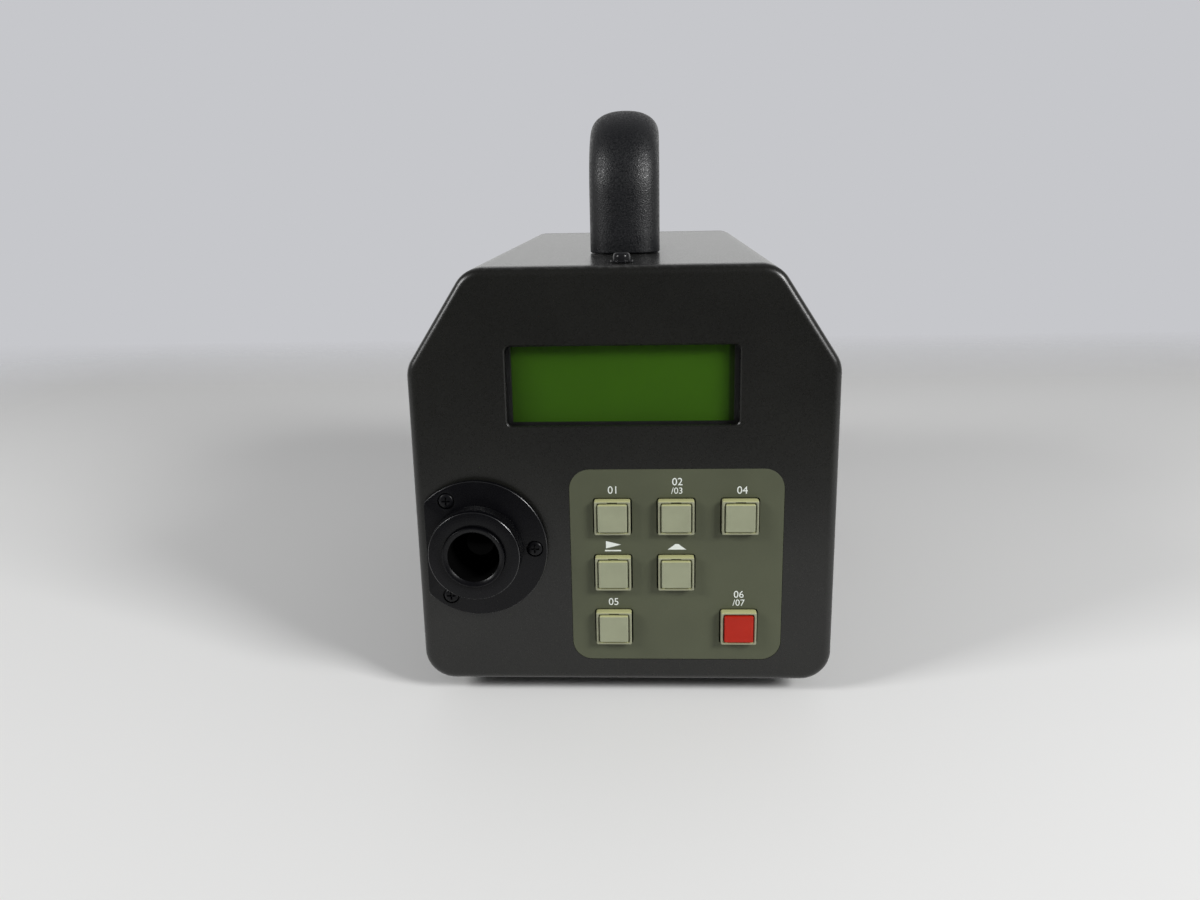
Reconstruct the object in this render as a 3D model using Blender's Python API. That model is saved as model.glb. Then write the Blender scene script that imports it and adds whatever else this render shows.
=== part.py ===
"""Bench spectroradiometer with a carrying handle, an eyepiece, a character display and seven keys.

Every piece hangs from one empty whose origin is on the front panel's face, at the lower edge of the
body and on its centre line. In that frame x runs to the operator's right, y is the depth behind the
panel's face and z is the height above the lower edge. The empty itself is placed so that the part
stands on z = 0 with the middle of its footprint at the origin. All lengths are in metres.
"""

import math

import bmesh
import bpy
from mathutils import Matrix, Vector

# Clearances and mesh fineness
SEAT_GAP = 0.0003
RUNNING_GAP = 0.0003
OVERRUN = 0.002
MERGE_DISTANCE = 0.000001
FOLD_STEPS = 4
ROUND_STEPS = 32
INNER_ROUND_STEPS = 20
SMALL_ROUND_STEPS = 12
POST_STEPS = 8
CONTACT_STEPS = 6
SMOOTH_ANGLE = math.radians(35)
QUARTER_TURN = math.pi / 2
FULL_TURN = 2 * math.pi

# Body shell: its cross-section is a rectangle with two sloping shoulders
BODY_WIDTH = 0.150
BODY_HEIGHT = 0.152
BODY_LENGTH = 0.230
SHOULDER_RUN = 0.022
SHOULDER_DROP = 0.034
FOLD_RADIUS = 0.011
LOWER_CORNER_RADIUS = 0.011

# End panels: a plate, a rim of full size and a set-in lip that the cover slides over
FACE_PLATE = 0.0035
REAR_PLATE = 0.0045
EDGE_ROUNDING = 0.003
EDGE_ROUNDING_STEPS = 3
RIM_DEPTH = 0.005
LIP_REACH = 0.012
LIP_WALL = 0.0025

# Cover and base
COVER_SHEET = 0.0015
COVER_RETURN = 0.002
BASE_THICKNESS = 0.004
BASE_TONGUE = 0.0015
FOOT_HEIGHT = 0.006
FOOT_RADIUS = 0.008
FOOT_TIP_SHARE = 0.88
FOOT_EDGE = 0.0006
FOOT_SIDE_MARGIN = 0.0006
FOOT_END_MARGIN = 0.0105

# Tripod socket in the base
SOCKET_RADIUS = 0.010
SOCKET_THREAD_RADIUS = 0.0032
SOCKET_DROP = 0.002
SOCKET_CHAMFER = 0.0006

# Screws: a pan head, with a washer under the two that hold the cover
SCREW_RADIUS = 0.0015
SCREW_CROWN = 0.0008
WASHER_RADIUS = 0.0039
WASHER_THICKNESS = 0.0007
COVER_SCREW_HEAD_RADIUS = 0.0030
COVER_SCREW_HEAD_HEIGHT = 0.0027
COVER_SCREW_DEPTH = 0.0145
COVER_SCREW_LENGTH = 0.006
COVER_BOSS_RADIUS = 0.0042
COVER_BOSS_DROP = 0.004

# Carrying handle: an oval section swept along a bow
HANDLE_LENGTH = 0.122
HANDLE_RISE = 0.0545
HANDLE_WIDTH = 0.0272
HANDLE_THICKNESS = 0.0195
HANDLE_BEND_RADIUS = 0.031
HANDLE_BEND_STEPS = 6
HANDLE_SECTION_STEPS = 18
HANDLE_SQUARENESS = 2.35
STRAP_WIDTH = 0.028
STRAP_THICKNESS = 0.0025
STRAP_END = 0.006
STUD_RADIUS = 0.0025
STUD_LENGTH = 0.014

# Display window and the display module behind it; the window's shares are of the body's sizes
WINDOW_WIDTH_SHARE = 0.53867
WINDOW_HEIGHT_SHARE = 0.18618
WINDOW_BELOW_TOP_SHARE = 0.175
WINDOW_CORNER = 0.002
WINDOW_CHAMFER = 0.0004
PANE_OVERLAP = 0.0022
PANE_THICKNESS = 0.0012
DISPLAY_VIEW_SIDE_INSET = 0.0017
DISPLAY_VIEW_TOP_INSET = 0.00075
DISPLAY_FRAME_SIDE_MARGIN = 0.0056
DISPLAY_FRAME_TOP_MARGIN = 0.00585
DISPLAY_FRAME_DEPTH = 0.0052
DISPLAY_FRAME_SHEET = 0.0008
DISPLAY_GLASS_MARGIN = 0.0022
DISPLAY_GLASS_THICKNESS = 0.0026
DISPLAY_BOARD_SIDE_MARGIN = 0.003
DISPLAY_BOARD_HEIGHT_SHARE = 2.05
BOARD_THICKNESS = 0.0016
POST_RADIUS = 0.0024
POST_INSET = 0.003

# Keypad overlay, in shares of the body's sizes, and keys, in shares of the overlay's. The steps are
# a key's column from the left and its row from the top.
KEYPAD_WIDTH_SHARE = 0.502
KEYPAD_HEIGHT_SHARE = 0.47566
KEYPAD_FROM_RIGHT_SHARE = 0.12533
KEYPAD_FROM_BASE_SHARE = 0.05921
KEYPAD_CORNER = 0.007
OVERLAY_THICKNESS = 0.0005
KEY_COLUMN_PITCH_SHARE = 0.29947
KEY_ROW_PITCH_SHARE = 0.29184
KEY_COLUMN_INSET_SHARE = 0.1992
KEY_ROW_INSET_SHARE = 0.23651
KEY_ROWS = (
    ("menu_key", "select_key", "enter_key"),
    ("right_key", "up_key", None),
    ("memory_key", None, "measure_key"),
)
MEASURE_KEY = "measure_key"
BEZEL_WIDTH = 0.0128
BEZEL_HEIGHT = 0.0126
BEZEL_RIM = 0.0009
BEZEL_STAND = 0.0026
BEZEL_EDGE = 0.00025
BEZEL_NOTCH_WIDTH = 0.0034
BEZEL_NOTCH_SHARE = 0.5
CAP_PROUD = 0.0007
CAP_EDGE = 0.0004
CAP_BODY_DEPTH = 0.0045
KEY_TRAVEL = 0.0015
KEY_STEM_RADIUS = 0.0018
KEY_BOARD_DEPTH = 0.0105
KEY_SWITCH_SIZE = 0.006
KEY_SWITCH_HEIGHT = 0.0035
KEY_BOARD_MARGIN = 0.0022

# Eyepiece on the left of the panel, its axis placed by shares of the body's sizes
EYEPIECE_FROM_LEFT_SHARE = 0.14933
AXIS_HEIGHT_SHARE = 0.34868
FLANGE_SCREW_MARGIN = 0.0045
FLANGE_THICKNESS = 0.0025
FLANGE_EDGE = 0.0005
FLANGE_FLAT_MARGIN = 0.0018
FLANGE_NECK_REACH = 0.0035
FLANGE_NECK_WALL = 0.002
FLANGE_TUBE_WALL = 0.0022
FLANGE_TUBE_DEPTH = 0.018
FLANGE_SCREW_FROM_RING = 0.0042
FLANGE_SCREW_COUNT = 3
FLANGE_SCREW_LENGTH = 0.006
FLANGE_SCREW_HEAD_RADIUS = 0.00275
FLANGE_SCREW_HEAD_HEIGHT = 0.0020
FLANGE_SINK_DEPTH = 0.0015
FLANGE_SINK_GAP = 0.0003
DIOPTRE_RING_WALL = 0.0055
DIOPTRE_GRIP_LENGTH = 0.0050
DIOPTRE_COLLAR_LENGTH = 0.0025
DIOPTRE_RIBS = 24
DIOPTRE_RIB_DEPTH = 0.0005
DIOPTRE_EDGE = 0.0005
BARREL_RADIUS = 0.0110
BARREL_WALL = 0.0018
BARREL_PROUD = 0.0015
BARREL_TAIL = 0.012
BARREL_MOUTH = 0.0006
BARREL_SHOULDER = 0.0012
EYE_LENS_THICKNESS = 0.0042
EYE_LENS_BULGE = 0.0016
EYE_LENS_DEPTH = 0.0105
EYE_STOP_LENGTH = 0.0025

# Objective on the far side, on the same height as the eyepiece
OBJECTIVE_REACH = 0.078
MOUNT_PROUD = 0.002
MOUNT_THICKNESS = 0.004
MOUNT_TUBE_RADIUS = 0.0297
MOUNT_TUBE_WALL = 0.0035
MOUNT_TUBE_REACH_SHARE = 0.6667
MOUNT_TAIL = 0.012
FOCUS_RING_WALL = 0.0045
FOCUS_RING_LENGTH = 0.027
FOCUS_RIBS = 28
FOCUS_RIB_DEPTH = 0.0009
FOCUS_RIB_BAND_SHARE = 0.55
FOCUS_EDGE = 0.0008
HEAD_SETBACK = 0.002
HEAD_EDGE = 0.001
HEAD_RIM_WALL = 0.003
HOOD_DEPTH = 0.016
OBJECTIVE_TUBE_WALL = 0.0025
LENS_INSIDE_MOUTH = 0.0085
LENS_EDGE_THICKNESS = 0.005
LENS_BULGE = 0.0035
LENS_RINGS = 3
LENS_SEAT_STEP = 0.0015

# Optical bench with its blocks and posts
BENCH_THICKNESS = 0.005
BENCH_SIDE_MARGIN = 0.009
BENCH_END_MARGIN = 0.007
BENCH_CORNER = 0.004
MIRROR_RADIUS = 0.012
MIRROR_THICKNESS = 0.0025
MIRROR_PINHOLE = 0.0012
MIRROR_POST_WIDTH = 0.024
MIRROR_POST_THICKNESS = 0.006
MIRROR_POST_ABOVE_AXIS = 0.013
MIRROR_POST_CLEARANCE = 0.0008
LIGHT_PORT_RADIUS = 0.004
FINDER_TUBE_RADIUS = 0.009
FINDER_TUBE_WALL = 0.0015
FINDER_TUBE_FROM_MIRROR = 0.031
FINDER_LENS_THICKNESS = 0.004
SADDLE_LENGTH = 0.010
SADDLE_SIDE = 0.002
SADDLE_INSET = 0.014

# Spectrograph box that splits the light, with its concave grating and line sensor; its shares are of
# the body's sizes
BOX_FROM_LIP = 0.013
BOX_LENGTH_SHARE = 0.42609
BOX_LEFT_OF_SLIT_SHARE = 0.21333
BOX_WIDTH_SHARE = 0.53333
BOX_ABOVE_AXIS = 0.025
BOX_WALL = 0.003
BOX_CORNER = 0.003
SLIT_WIDTH = 0.0012
SLIT_HEIGHT = 0.006
LID_THICKNESS = 0.002
LID_POST_HEIGHT = 0.008
LID_POST_INSET = 0.006
GRATING_RADIUS = 0.020
GRATING_THICKNESS = 0.007
GRATING_SAG = 0.0014
GRATING_TILT = math.radians(7)
GRATING_BLOCK_WIDTH = 0.046
GRATING_BLOCK_THICKNESS = 0.008
GRATING_BLOCK_SETBACK = 0.012
SENSOR_OFFSET_SHARE = 0.17333
SENSOR_BOARD_WIDTH = 0.030
SENSOR_BOARD_HEIGHT = 0.036
SENSOR_WIDTH = 0.024
SENSOR_HEIGHT = 0.009
SENSOR_SINK = 0.0015

# Filter turret and its motor
WHEEL_RADIUS = 0.0225
WHEEL_THICKNESS = 0.002
WHEEL_HOLE_CIRCLE = 0.016
WHEEL_HOLE_RADIUS = 0.0045
WHEEL_HOLES = 5
FILTER_POCKET_DEPTH = 0.0006
WHEEL_HUB_RADIUS = 0.004
WHEEL_SHAFT_RADIUS = 0.0015
WHEEL_SHAFT_LENGTH = 0.007
MOTOR_RADIUS = 0.010
MOTOR_LENGTH = 0.0159
MOTOR_STEP = 0.0015

# Main circuit board above the spectrograph box, in shares of the box's sizes. Its packages and cans
# are given by the shares of the board's width and length where each starts and ends, or stands.
MAIN_BOARD_WIDTH_SHARE = 1.2
MAIN_BOARD_LENGTH_SHARE = 1.204
MAIN_BOARD_PART_SHARES = (
    (0.30, 0.30, 0.62, 0.52),
    (0.10, 0.14, 0.25, 0.22),
    (0.10, 0.28, 0.25, 0.36),
    (0.70, 0.20, 0.88, 0.36),
    (0.30, 0.62, 0.46, 0.72),
    (0.54, 0.62, 0.70, 0.72),
    (0.20, 0.86, 0.52, 0.92),
)
MAIN_BOARD_PART_HEIGHT = 0.003
SUPPLY_CAN_SHARES = ((0.82, 0.55), (0.82, 0.70))
SUPPLY_CAN_RADIUS = 0.006
SUPPLY_CAN_HEIGHT = 0.016

# Connector bay in the right side
BAY_FROM_REAR = 0.028
BAY_FROM_BASE = 0.020
BAY_CORNER = 0.003
BAY_RECESS = 0.0085
BAY_SHEET = 0.0015
BAY_FLANGE = 0.004
BAY_START_GAP = 0.0061
BAY_END_GAP = 0.005
BAY_SWITCH_GAP = 0.0065
SERIAL_JACK_GAP = 0.0028
JACK_SWITCH_GAP = 0.0027
SERIAL_FLANGE_LENGTH = 0.0308
SERIAL_FLANGE_HEIGHT = 0.0125
SERIAL_FLANGE_THICKNESS = 0.001
SERIAL_SHELL_LENGTH = 0.0169
SERIAL_SHELL_HEIGHT = 0.0083
SERIAL_SHELL_REACH = 0.0055
SERIAL_SHELL_CORNER = 0.002
SERIAL_SHELL_SLANT_SHARE = 0.09
SERIAL_SHELL_WALL = 0.0006
SERIAL_INSERT_SETBACK = 0.001
SERIAL_BODY_DEPTH = 0.007
SERIAL_PIN_PITCH = 0.00277
SERIAL_PIN_ROW_GAP = 0.00284
SERIAL_PIN_RADIUS = 0.0005
SERIAL_PIN_DEPTH = 0.002
JACKPOST_SPACING = 0.025
JACKPOST_RADIUS = 0.0027
JACKPOST_REACH = 0.005
JACK_RADIUS = 0.0055
JACK_COLLAR_RADIUS = 0.0068
JACK_COLLAR_THICKNESS = 0.0015
JACK_BORE = 0.0031
JACK_BORE_DEPTH = 0.008
JACK_PIN_RADIUS = 0.001
JACK_BODY_DEPTH = 0.010
SWITCH_LENGTH = 0.013
SWITCH_HEIGHT = 0.021
SWITCH_FRAME = 0.0013
SWITCH_FRAME_THICKNESS = 0.0018
SWITCH_BODY_DEPTH = 0.011
ROCKER_PIVOT_DEPTH = 0.0022
ROCKER_TILT = math.radians(9)
ROCKER_VALLEY = 0.0042
ROCKER_RISE = 0.0011
ROCKER_ROOT_DEPTH = 0.003

# Sizes and places worked out from those above
HALF_WIDTH = BODY_WIDTH / 2
LIP_INSET = COVER_SHEET + SEAT_GAP
LIP_END = RIM_DEPTH + LIP_REACH
BASE_HALF_WIDTH = HALF_WIDTH - LOWER_CORNER_RADIUS - COVER_RETURN - SEAT_GAP
AXIS_HEIGHT = BODY_HEIGHT * AXIS_HEIGHT_SHARE
EYEPIECE_X = -HALF_WIDTH + BODY_WIDTH * EYEPIECE_FROM_LEFT_SHARE
BARREL_BORE = BARREL_RADIUS - BARREL_WALL
DIOPTRE_RING_RADIUS = BARREL_RADIUS + DIOPTRE_RING_WALL
FLANGE_SCREW_CIRCLE = DIOPTRE_RING_RADIUS + FLANGE_SCREW_FROM_RING
FLANGE_RADIUS = FLANGE_SCREW_CIRCLE + FLANGE_SCREW_MARGIN
FLANGE_FLAT = DIOPTRE_RING_RADIUS + FLANGE_FLAT_MARGIN
FLANGE_FRONT = -SEAT_GAP - FLANGE_THICKNESS
DIOPTRE_BACK = FLANGE_FRONT - SEAT_GAP
DIOPTRE_FRONT = DIOPTRE_BACK - DIOPTRE_GRIP_LENGTH - DIOPTRE_COLLAR_LENGTH
BARREL_FRONT = DIOPTRE_FRONT - BARREL_PROUD
KEYPAD_WIDTH = BODY_WIDTH * KEYPAD_WIDTH_SHARE
KEYPAD_HEIGHT = BODY_HEIGHT * KEYPAD_HEIGHT_SHARE
KEYPAD_X = HALF_WIDTH - BODY_WIDTH * KEYPAD_FROM_RIGHT_SHARE - KEYPAD_WIDTH / 2
KEYPAD_Z = BODY_HEIGHT * KEYPAD_FROM_BASE_SHARE + KEYPAD_HEIGHT / 2
WINDOW_WIDTH = BODY_WIDTH * WINDOW_WIDTH_SHARE
WINDOW_HEIGHT = BODY_HEIGHT * WINDOW_HEIGHT_SHARE
WINDOW_Z = BODY_HEIGHT * (1 - WINDOW_BELOW_TOP_SHARE) - WINDOW_HEIGHT / 2
PANE_BACK = FACE_PLATE
PANE_FRONT = PANE_BACK - PANE_THICKNESS
DISPLAY_VIEW_WIDTH = WINDOW_WIDTH - 2 * DISPLAY_VIEW_SIDE_INSET
DISPLAY_VIEW_HEIGHT = WINDOW_HEIGHT - 2 * DISPLAY_VIEW_TOP_INSET
DISPLAY_FRAME_WIDTH = WINDOW_WIDTH + 2 * DISPLAY_FRAME_SIDE_MARGIN
DISPLAY_FRAME_HEIGHT = WINDOW_HEIGHT + 2 * DISPLAY_FRAME_TOP_MARGIN
DISPLAY_FRAME_FRONT = PANE_BACK + SEAT_GAP
DISPLAY_BOARD_WIDTH = DISPLAY_FRAME_WIDTH + 2 * DISPLAY_BOARD_SIDE_MARGIN
DISPLAY_BOARD_HEIGHT = WINDOW_HEIGHT * DISPLAY_BOARD_HEIGHT_SHARE
DISPLAY_BOARD_FRONT = DISPLAY_FRAME_FRONT + DISPLAY_FRAME_DEPTH + SEAT_GAP
FOCUS_RING_RADIUS = MOUNT_TUBE_RADIUS + RUNNING_GAP + FOCUS_RING_WALL
MOUNT_RADIUS = FOCUS_RING_RADIUS + MOUNT_PROUD
HEAD_RADIUS = FOCUS_RING_RADIUS - HEAD_SETBACK
LENS_RADIUS = HEAD_RADIUS - HEAD_RIM_WALL - LENS_INSIDE_MOUTH
BENCH_BOTTOM = BASE_THICKNESS + SEAT_GAP
BENCH_TOP = BENCH_BOTTOM + BENCH_THICKNESS
BOX_LEFT = -BODY_WIDTH * BOX_LEFT_OF_SLIT_SHARE
BOX_WIDTH = BODY_WIDTH * BOX_WIDTH_SHARE
BOX_LENGTH = BODY_LENGTH * BOX_LENGTH_SHARE
BOX_FRONT = LIP_END + BOX_FROM_LIP
BOX_BACK = BOX_FRONT + BOX_LENGTH
BOX_BOTTOM = BENCH_TOP + SEAT_GAP
BOX_TOP = AXIS_HEIGHT + BOX_ABOVE_AXIS
SENSOR_OFFSET = BODY_WIDTH * SENSOR_OFFSET_SHARE
WHEEL_DEPTH = BOX_BACK + SEAT_GAP + MOTOR_LENGTH + RUNNING_GAP + MOTOR_STEP
MIRROR_POST_BACK = MIRROR_THICKNESS + SEAT_GAP + MIRROR_POST_THICKNESS
MIRROR_POST_REACH = (MIRROR_POST_WIDTH / 2 + MIRROR_POST_BACK) * math.sin(QUARTER_TURN / 2)
WHEEL_BACK = WHEEL_DEPTH + WHEEL_THICKNESS + MOTOR_STEP
MIRROR_DEPTH = WHEEL_BACK + MIRROR_POST_CLEARANCE + MIRROR_POST_REACH
FINDER_TUBE_END = MIRROR_DEPTH - FINDER_TUBE_FROM_MIRROR
MAIN_BOARD_WIDTH = BOX_WIDTH * MAIN_BOARD_WIDTH_SHARE
MAIN_BOARD_LENGTH = BOX_LENGTH * MAIN_BOARD_LENGTH_SHARE
HANDLE_FRONT = (BODY_LENGTH - HANDLE_LENGTH) / 2
HANDLE_FOOT_CENTRES = (
    HANDLE_FRONT + HANDLE_THICKNESS / 2,
    HANDLE_FRONT + HANDLE_LENGTH - HANDLE_THICKNESS / 2,
)
SERIAL_FROM_BAY_END = BAY_START_GAP + SERIAL_FLANGE_LENGTH / 2
JACK_FROM_BAY_END = BAY_START_GAP + SERIAL_FLANGE_LENGTH + SERIAL_JACK_GAP + JACK_COLLAR_RADIUS
SWITCH_FROM_BAY_END = JACK_FROM_BAY_END + JACK_COLLAR_RADIUS + JACK_SWITCH_GAP + SWITCH_LENGTH / 2
BAY_LENGTH = SWITCH_FROM_BAY_END + SWITCH_LENGTH / 2 + BAY_END_GAP
BAY_HEIGHT = SWITCH_HEIGHT + 2 * BAY_SWITCH_GAP
BAY_CENTRE_Y = BODY_LENGTH - BAY_FROM_REAR - BAY_LENGTH / 2
BAY_START_Y = BAY_CENTRE_Y - BAY_LENGTH / 2
BAY_CENTRE_Z = BAY_FROM_BASE + BAY_HEIGHT / 2
BAY_FLANGE_X = HALF_WIDTH - COVER_SHEET - SEAT_GAP
BAY_FLOOR_X = HALF_WIDTH - BAY_RECESS
TOTAL_LENGTH = BODY_LENGTH + OBJECTIVE_REACH - BARREL_FRONT
KEY_GRID_STEPS = {
    key: (column, row)
    for row, keys in enumerate(KEY_ROWS)
    for column, key in enumerate(keys)
    if key
}

# Each mirror's name, x place and turn about z; at no turn its face looks to the rear
MIRRORS = (
    ("aperture_mirror", 0.0, QUARTER_TURN / 2),
    ("finder_mirror", EYEPIECE_X, QUARTER_TURN / 2 + math.pi),
)


def clear_scene():
    """Removes whatever the file held, so that only this object is left."""
    for old in list(bpy.data.objects):
        bpy.data.objects.remove(old, do_unlink=True)


def paint(name, colour, roughness, metallic=0.0, alpha=1.0):
    """A Principled material in one plain colour."""
    made = bpy.data.materials.new(name)
    made.use_nodes = True
    shader = made.node_tree.nodes["Principled BSDF"]
    shader.inputs["Base Color"].default_value = (*colour, 1.0)
    shader.inputs["Roughness"].default_value = roughness
    shader.inputs["Metallic"].default_value = metallic
    shader.inputs["Alpha"].default_value = alpha
    made.diffuse_color = (*colour, alpha)
    return made


def make_looks():
    """The finishes, from the photograph where it shows them."""
    return {
        "panel": paint("charcoal_paint", (0.020, 0.020, 0.019), 0.45),
        "cover": paint("charcoal_sheet", (0.024, 0.024, 0.023), 0.40),
        "black": paint("black_anodised", (0.010, 0.010, 0.011), 0.35, 0.4),
        "handle": paint("grained_plastic", (0.015, 0.015, 0.017), 0.50),
        "overlay": paint("olive_overlay", (0.090, 0.100, 0.065), 0.55),
        "cream": paint("cream_plastic", (0.330, 0.330, 0.240), 0.45),
        "red": paint("red_plastic", (0.420, 0.025, 0.018), 0.40),
        "lcd": paint("green_display", (0.030, 0.085, 0.006), 0.25),
        "pane": paint("clear_pane", (0.80, 0.85, 0.80), 0.05, 0.0, 0.25),
        "glass": paint("coated_glass", (0.60, 0.55, 0.70), 0.03, 0.0, 0.35),
        "steel": paint("bright_steel", (0.55, 0.55, 0.56), 0.30, 1.0),
        "screw": paint("black_screw", (0.012, 0.012, 0.013), 0.25, 0.7),
        "cast": paint("cast_aluminium", (0.42, 0.42, 0.43), 0.45, 0.9),
        "board": paint("circuit_board", (0.010, 0.090, 0.035), 0.50),
        "mirror": paint("mirror_coat", (0.85, 0.86, 0.88), 0.05, 1.0),
        "rubber": paint("black_rubber", (0.012, 0.012, 0.012), 0.80),
    }


def set_frame():
    """The empty that carries every piece, placed so that the part stands on z = 0."""
    frame = bpy.data.objects.new("body_frame", None)
    bpy.context.scene.collection.objects.link(frame)
    frame.location = (0, -(TOTAL_LENGTH / 2 + BARREL_FRONT), FOOT_HEIGHT)
    return frame


def to_object(name, bm, look=None, place=(0, 0, 0), spin_z=0.0):
    """Turns a bmesh into an object of that name under the frame, its faces pointing out."""
    bmesh.ops.recalc_face_normals(bm, faces=bm.faces)
    mesh = bpy.data.meshes.new(name)
    bm.to_mesh(mesh)
    bm.free()
    mesh.shade_smooth()
    mesh.set_sharp_from_angle(angle=SMOOTH_ANGLE)
    if look:
        mesh.materials.append(look)
    made = bpy.data.objects.new(name, mesh)
    made.parent = FRAME
    made.location = place
    made.rotation_euler.z = spin_z
    bpy.context.scene.collection.objects.link(made)
    return made


def boolean(target, operation, helper):
    """Cuts or joins with a helper, which stays in the file as a hidden guide."""
    helper.hide_render = True
    helper.display_type = "WIRE"
    modifier = target.modifiers.new(helper.name, "BOOLEAN")
    modifier.operation = operation
    modifier.solver = "EXACT"
    modifier.object = helper


def cut(target, *helpers):
    """Takes each helper's volume out of the target."""
    for helper in helpers:
        boolean(target, "DIFFERENCE", helper)


def weld(target, *helpers):
    """Joins each helper's volume to the target."""
    for helper in helpers:
        boolean(target, "UNION", helper)


def soften(target, width):
    """Bevels the sharp edges of a piece."""
    modifier = target.modifiers.new("edges", "BEVEL")
    modifier.width = width
    modifier.segments = 1
    modifier.limit_method = "ANGLE"
    modifier.angle_limit = SMOOTH_ANGLE


def along(axis, u, v, w):
    """A point whose outline coordinates are u and v, at w along the axis square to the outline."""
    if axis == "X":
        return Vector((w, u, v))
    if axis == "Y":
        return Vector((u, w, v))
    return Vector((u, v, w))


def filleted(corners, radii, steps):
    """Rounds each corner of a convex anticlockwise outline with an arc tangent to both its edges."""
    points = []
    count = len(corners)
    for i, corner in enumerate(corners):
        back = (corners[i - 1] - corner).normalized()
        onward = (corners[(i + 1) % count] - corner).normalized()
        half = math.acos(max(-1.0, min(1.0, back.dot(onward)))) / 2
        radius = radii[i]
        centre = corner + (back + onward).normalized() * (radius / math.sin(half))
        spoke = corner + back * (radius / math.tan(half)) - centre
        sweep = math.pi - 2 * half
        for step in range(steps + 1):
            turn = Matrix.Rotation(sweep * step / steps, 2)
            points.append(centre + turn @ spoke)
    return points


def inset_corners(corners, distance):
    """Moves every edge of a convex outline inwards by the same distance."""
    moved = []
    count = len(corners)
    for i, corner in enumerate(corners):
        back = (corners[i - 1] - corner).normalized()
        onward = (corners[(i + 1) % count] - corner).normalized()
        half = math.acos(max(-1.0, min(1.0, back.dot(onward)))) / 2
        moved.append(corner + (back + onward).normalized() * (distance / math.sin(half)))
    return moved


def body_outline(inset=0.0):
    """The body's cross-section in x and z, anticlockwise from the lower left corner."""
    shoulder_x = HALF_WIDTH - SHOULDER_RUN
    shoulder_z = BODY_HEIGHT - SHOULDER_DROP
    corners = [
        Vector((-HALF_WIDTH, 0)),
        Vector((HALF_WIDTH, 0)),
        Vector((HALF_WIDTH, shoulder_z)),
        Vector((shoulder_x, BODY_HEIGHT)),
        Vector((-shoulder_x, BODY_HEIGHT)),
        Vector((-HALF_WIDTH, shoulder_z)),
    ]
    radii = [LOWER_CORNER_RADIUS - inset] * 2 + [FOLD_RADIUS - inset] * 4
    return filleted(inset_corners(corners, inset), radii, FOLD_STEPS)


def rectangle(width, height, centre=(0, 0)):
    """Corners of a rectangle, anticlockwise."""
    middle = Vector(centre)
    half_u, half_v = width / 2, height / 2
    signs = ((-1, -1), (1, -1), (1, 1), (-1, 1))
    return [middle + Vector((su * half_u, sv * half_v)) for su, sv in signs]


def rounded_rectangle(width, height, radius, centre=(0, 0), steps=FOLD_STEPS):
    """A rectangle with its corners rounded."""
    return filleted(rectangle(width, height, centre), [radius] * 4, steps)


def circle(radius, steps=ROUND_STEPS, centre=(0, 0)):
    """Points round a circle, anticlockwise."""
    angles = [FULL_TURN * i / steps for i in range(steps)]
    return [Vector(centre) + Vector((math.cos(a), math.sin(a))) * radius for a in angles]


def lofted(name, rings, look=None, closed=False, place=(0, 0, 0)):
    """Skins a row of rings with as many points each; it is capped at both ends or closed on itself."""
    bm = bmesh.new()
    rows = [[bm.verts.new(point) for point in ring] for ring in rings]
    count = len(rows[0])
    pairs = list(zip(rows, rows[1:]))
    if closed:
        pairs.append((rows[-1], rows[0]))
    for first, second in pairs:
        for i in range(count):
            j = (i + 1) % count
            bm.faces.new((first[i], first[j], second[j], second[i]))
    if not closed:
        bm.faces.new(rows[0])
        bm.faces.new(rows[-1])
    return to_object(name, bm, look, place)


def extruded(name, outline, start, end, look=None, axis="Y", place=(0, 0, 0), spin_z=0.0):
    """Pushes one outline straight along an axis."""
    bm = bmesh.new()
    face = bm.faces.new([bm.verts.new(along(axis, p[0], p[1], start)) for p in outline])
    grown = bmesh.ops.extrude_face_region(bm, geom=[face])
    moved = [g for g in grown["geom"] if isinstance(g, bmesh.types.BMVert)]
    bmesh.ops.translate(bm, verts=moved, vec=along(axis, 0, 0, end - start))
    return to_object(name, bm, look, place, spin_z)


def turned(name, profile, look=None, axis="Y", place=(0, 0, 0), steps=ROUND_STEPS, spin_z=0.0):
    """Spins a closed profile of (radius, distance along the axis) pairs round that axis."""
    bm = bmesh.new()
    verts = [bm.verts.new(along(axis, radius, 0, at)) for radius, at in profile]
    edges = [bm.edges.new((verts[i - 1], vert)) for i, vert in enumerate(verts)]
    on_axis = [e for e in edges if all(abs(v.co.x if axis != "X" else v.co.y) == 0 for v in e.verts)]
    edges = [edge for edge in edges if edge not in on_axis]
    for edge in on_axis:
        bm.edges.remove(edge)
    bmesh.ops.spin(
        bm,
        geom=edges,
        cent=(0, 0, 0),
        axis=along(axis, 0, 0, 1),
        angle=FULL_TURN,
        steps=steps,
        use_merge=True,
    )
    bmesh.ops.remove_doubles(bm, verts=bm.verts, dist=MERGE_DISTANCE)
    return to_object(name, bm, look, place, spin_z)


def blocks(name, boxes, look=None, place=(0, 0, 0), spin_z=0.0):
    """One mesh of straight blocks, each given by its lowest and highest corners."""
    bm = bmesh.new()
    for low, high in boxes:
        low, high = Vector(low), Vector(high)
        size = Matrix.Diagonal((*(high - low), 1))
        bmesh.ops.create_cube(bm, size=1, matrix=Matrix.Translation((low + high) / 2) @ size)
    return to_object(name, bm, look, place, spin_z)


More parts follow.
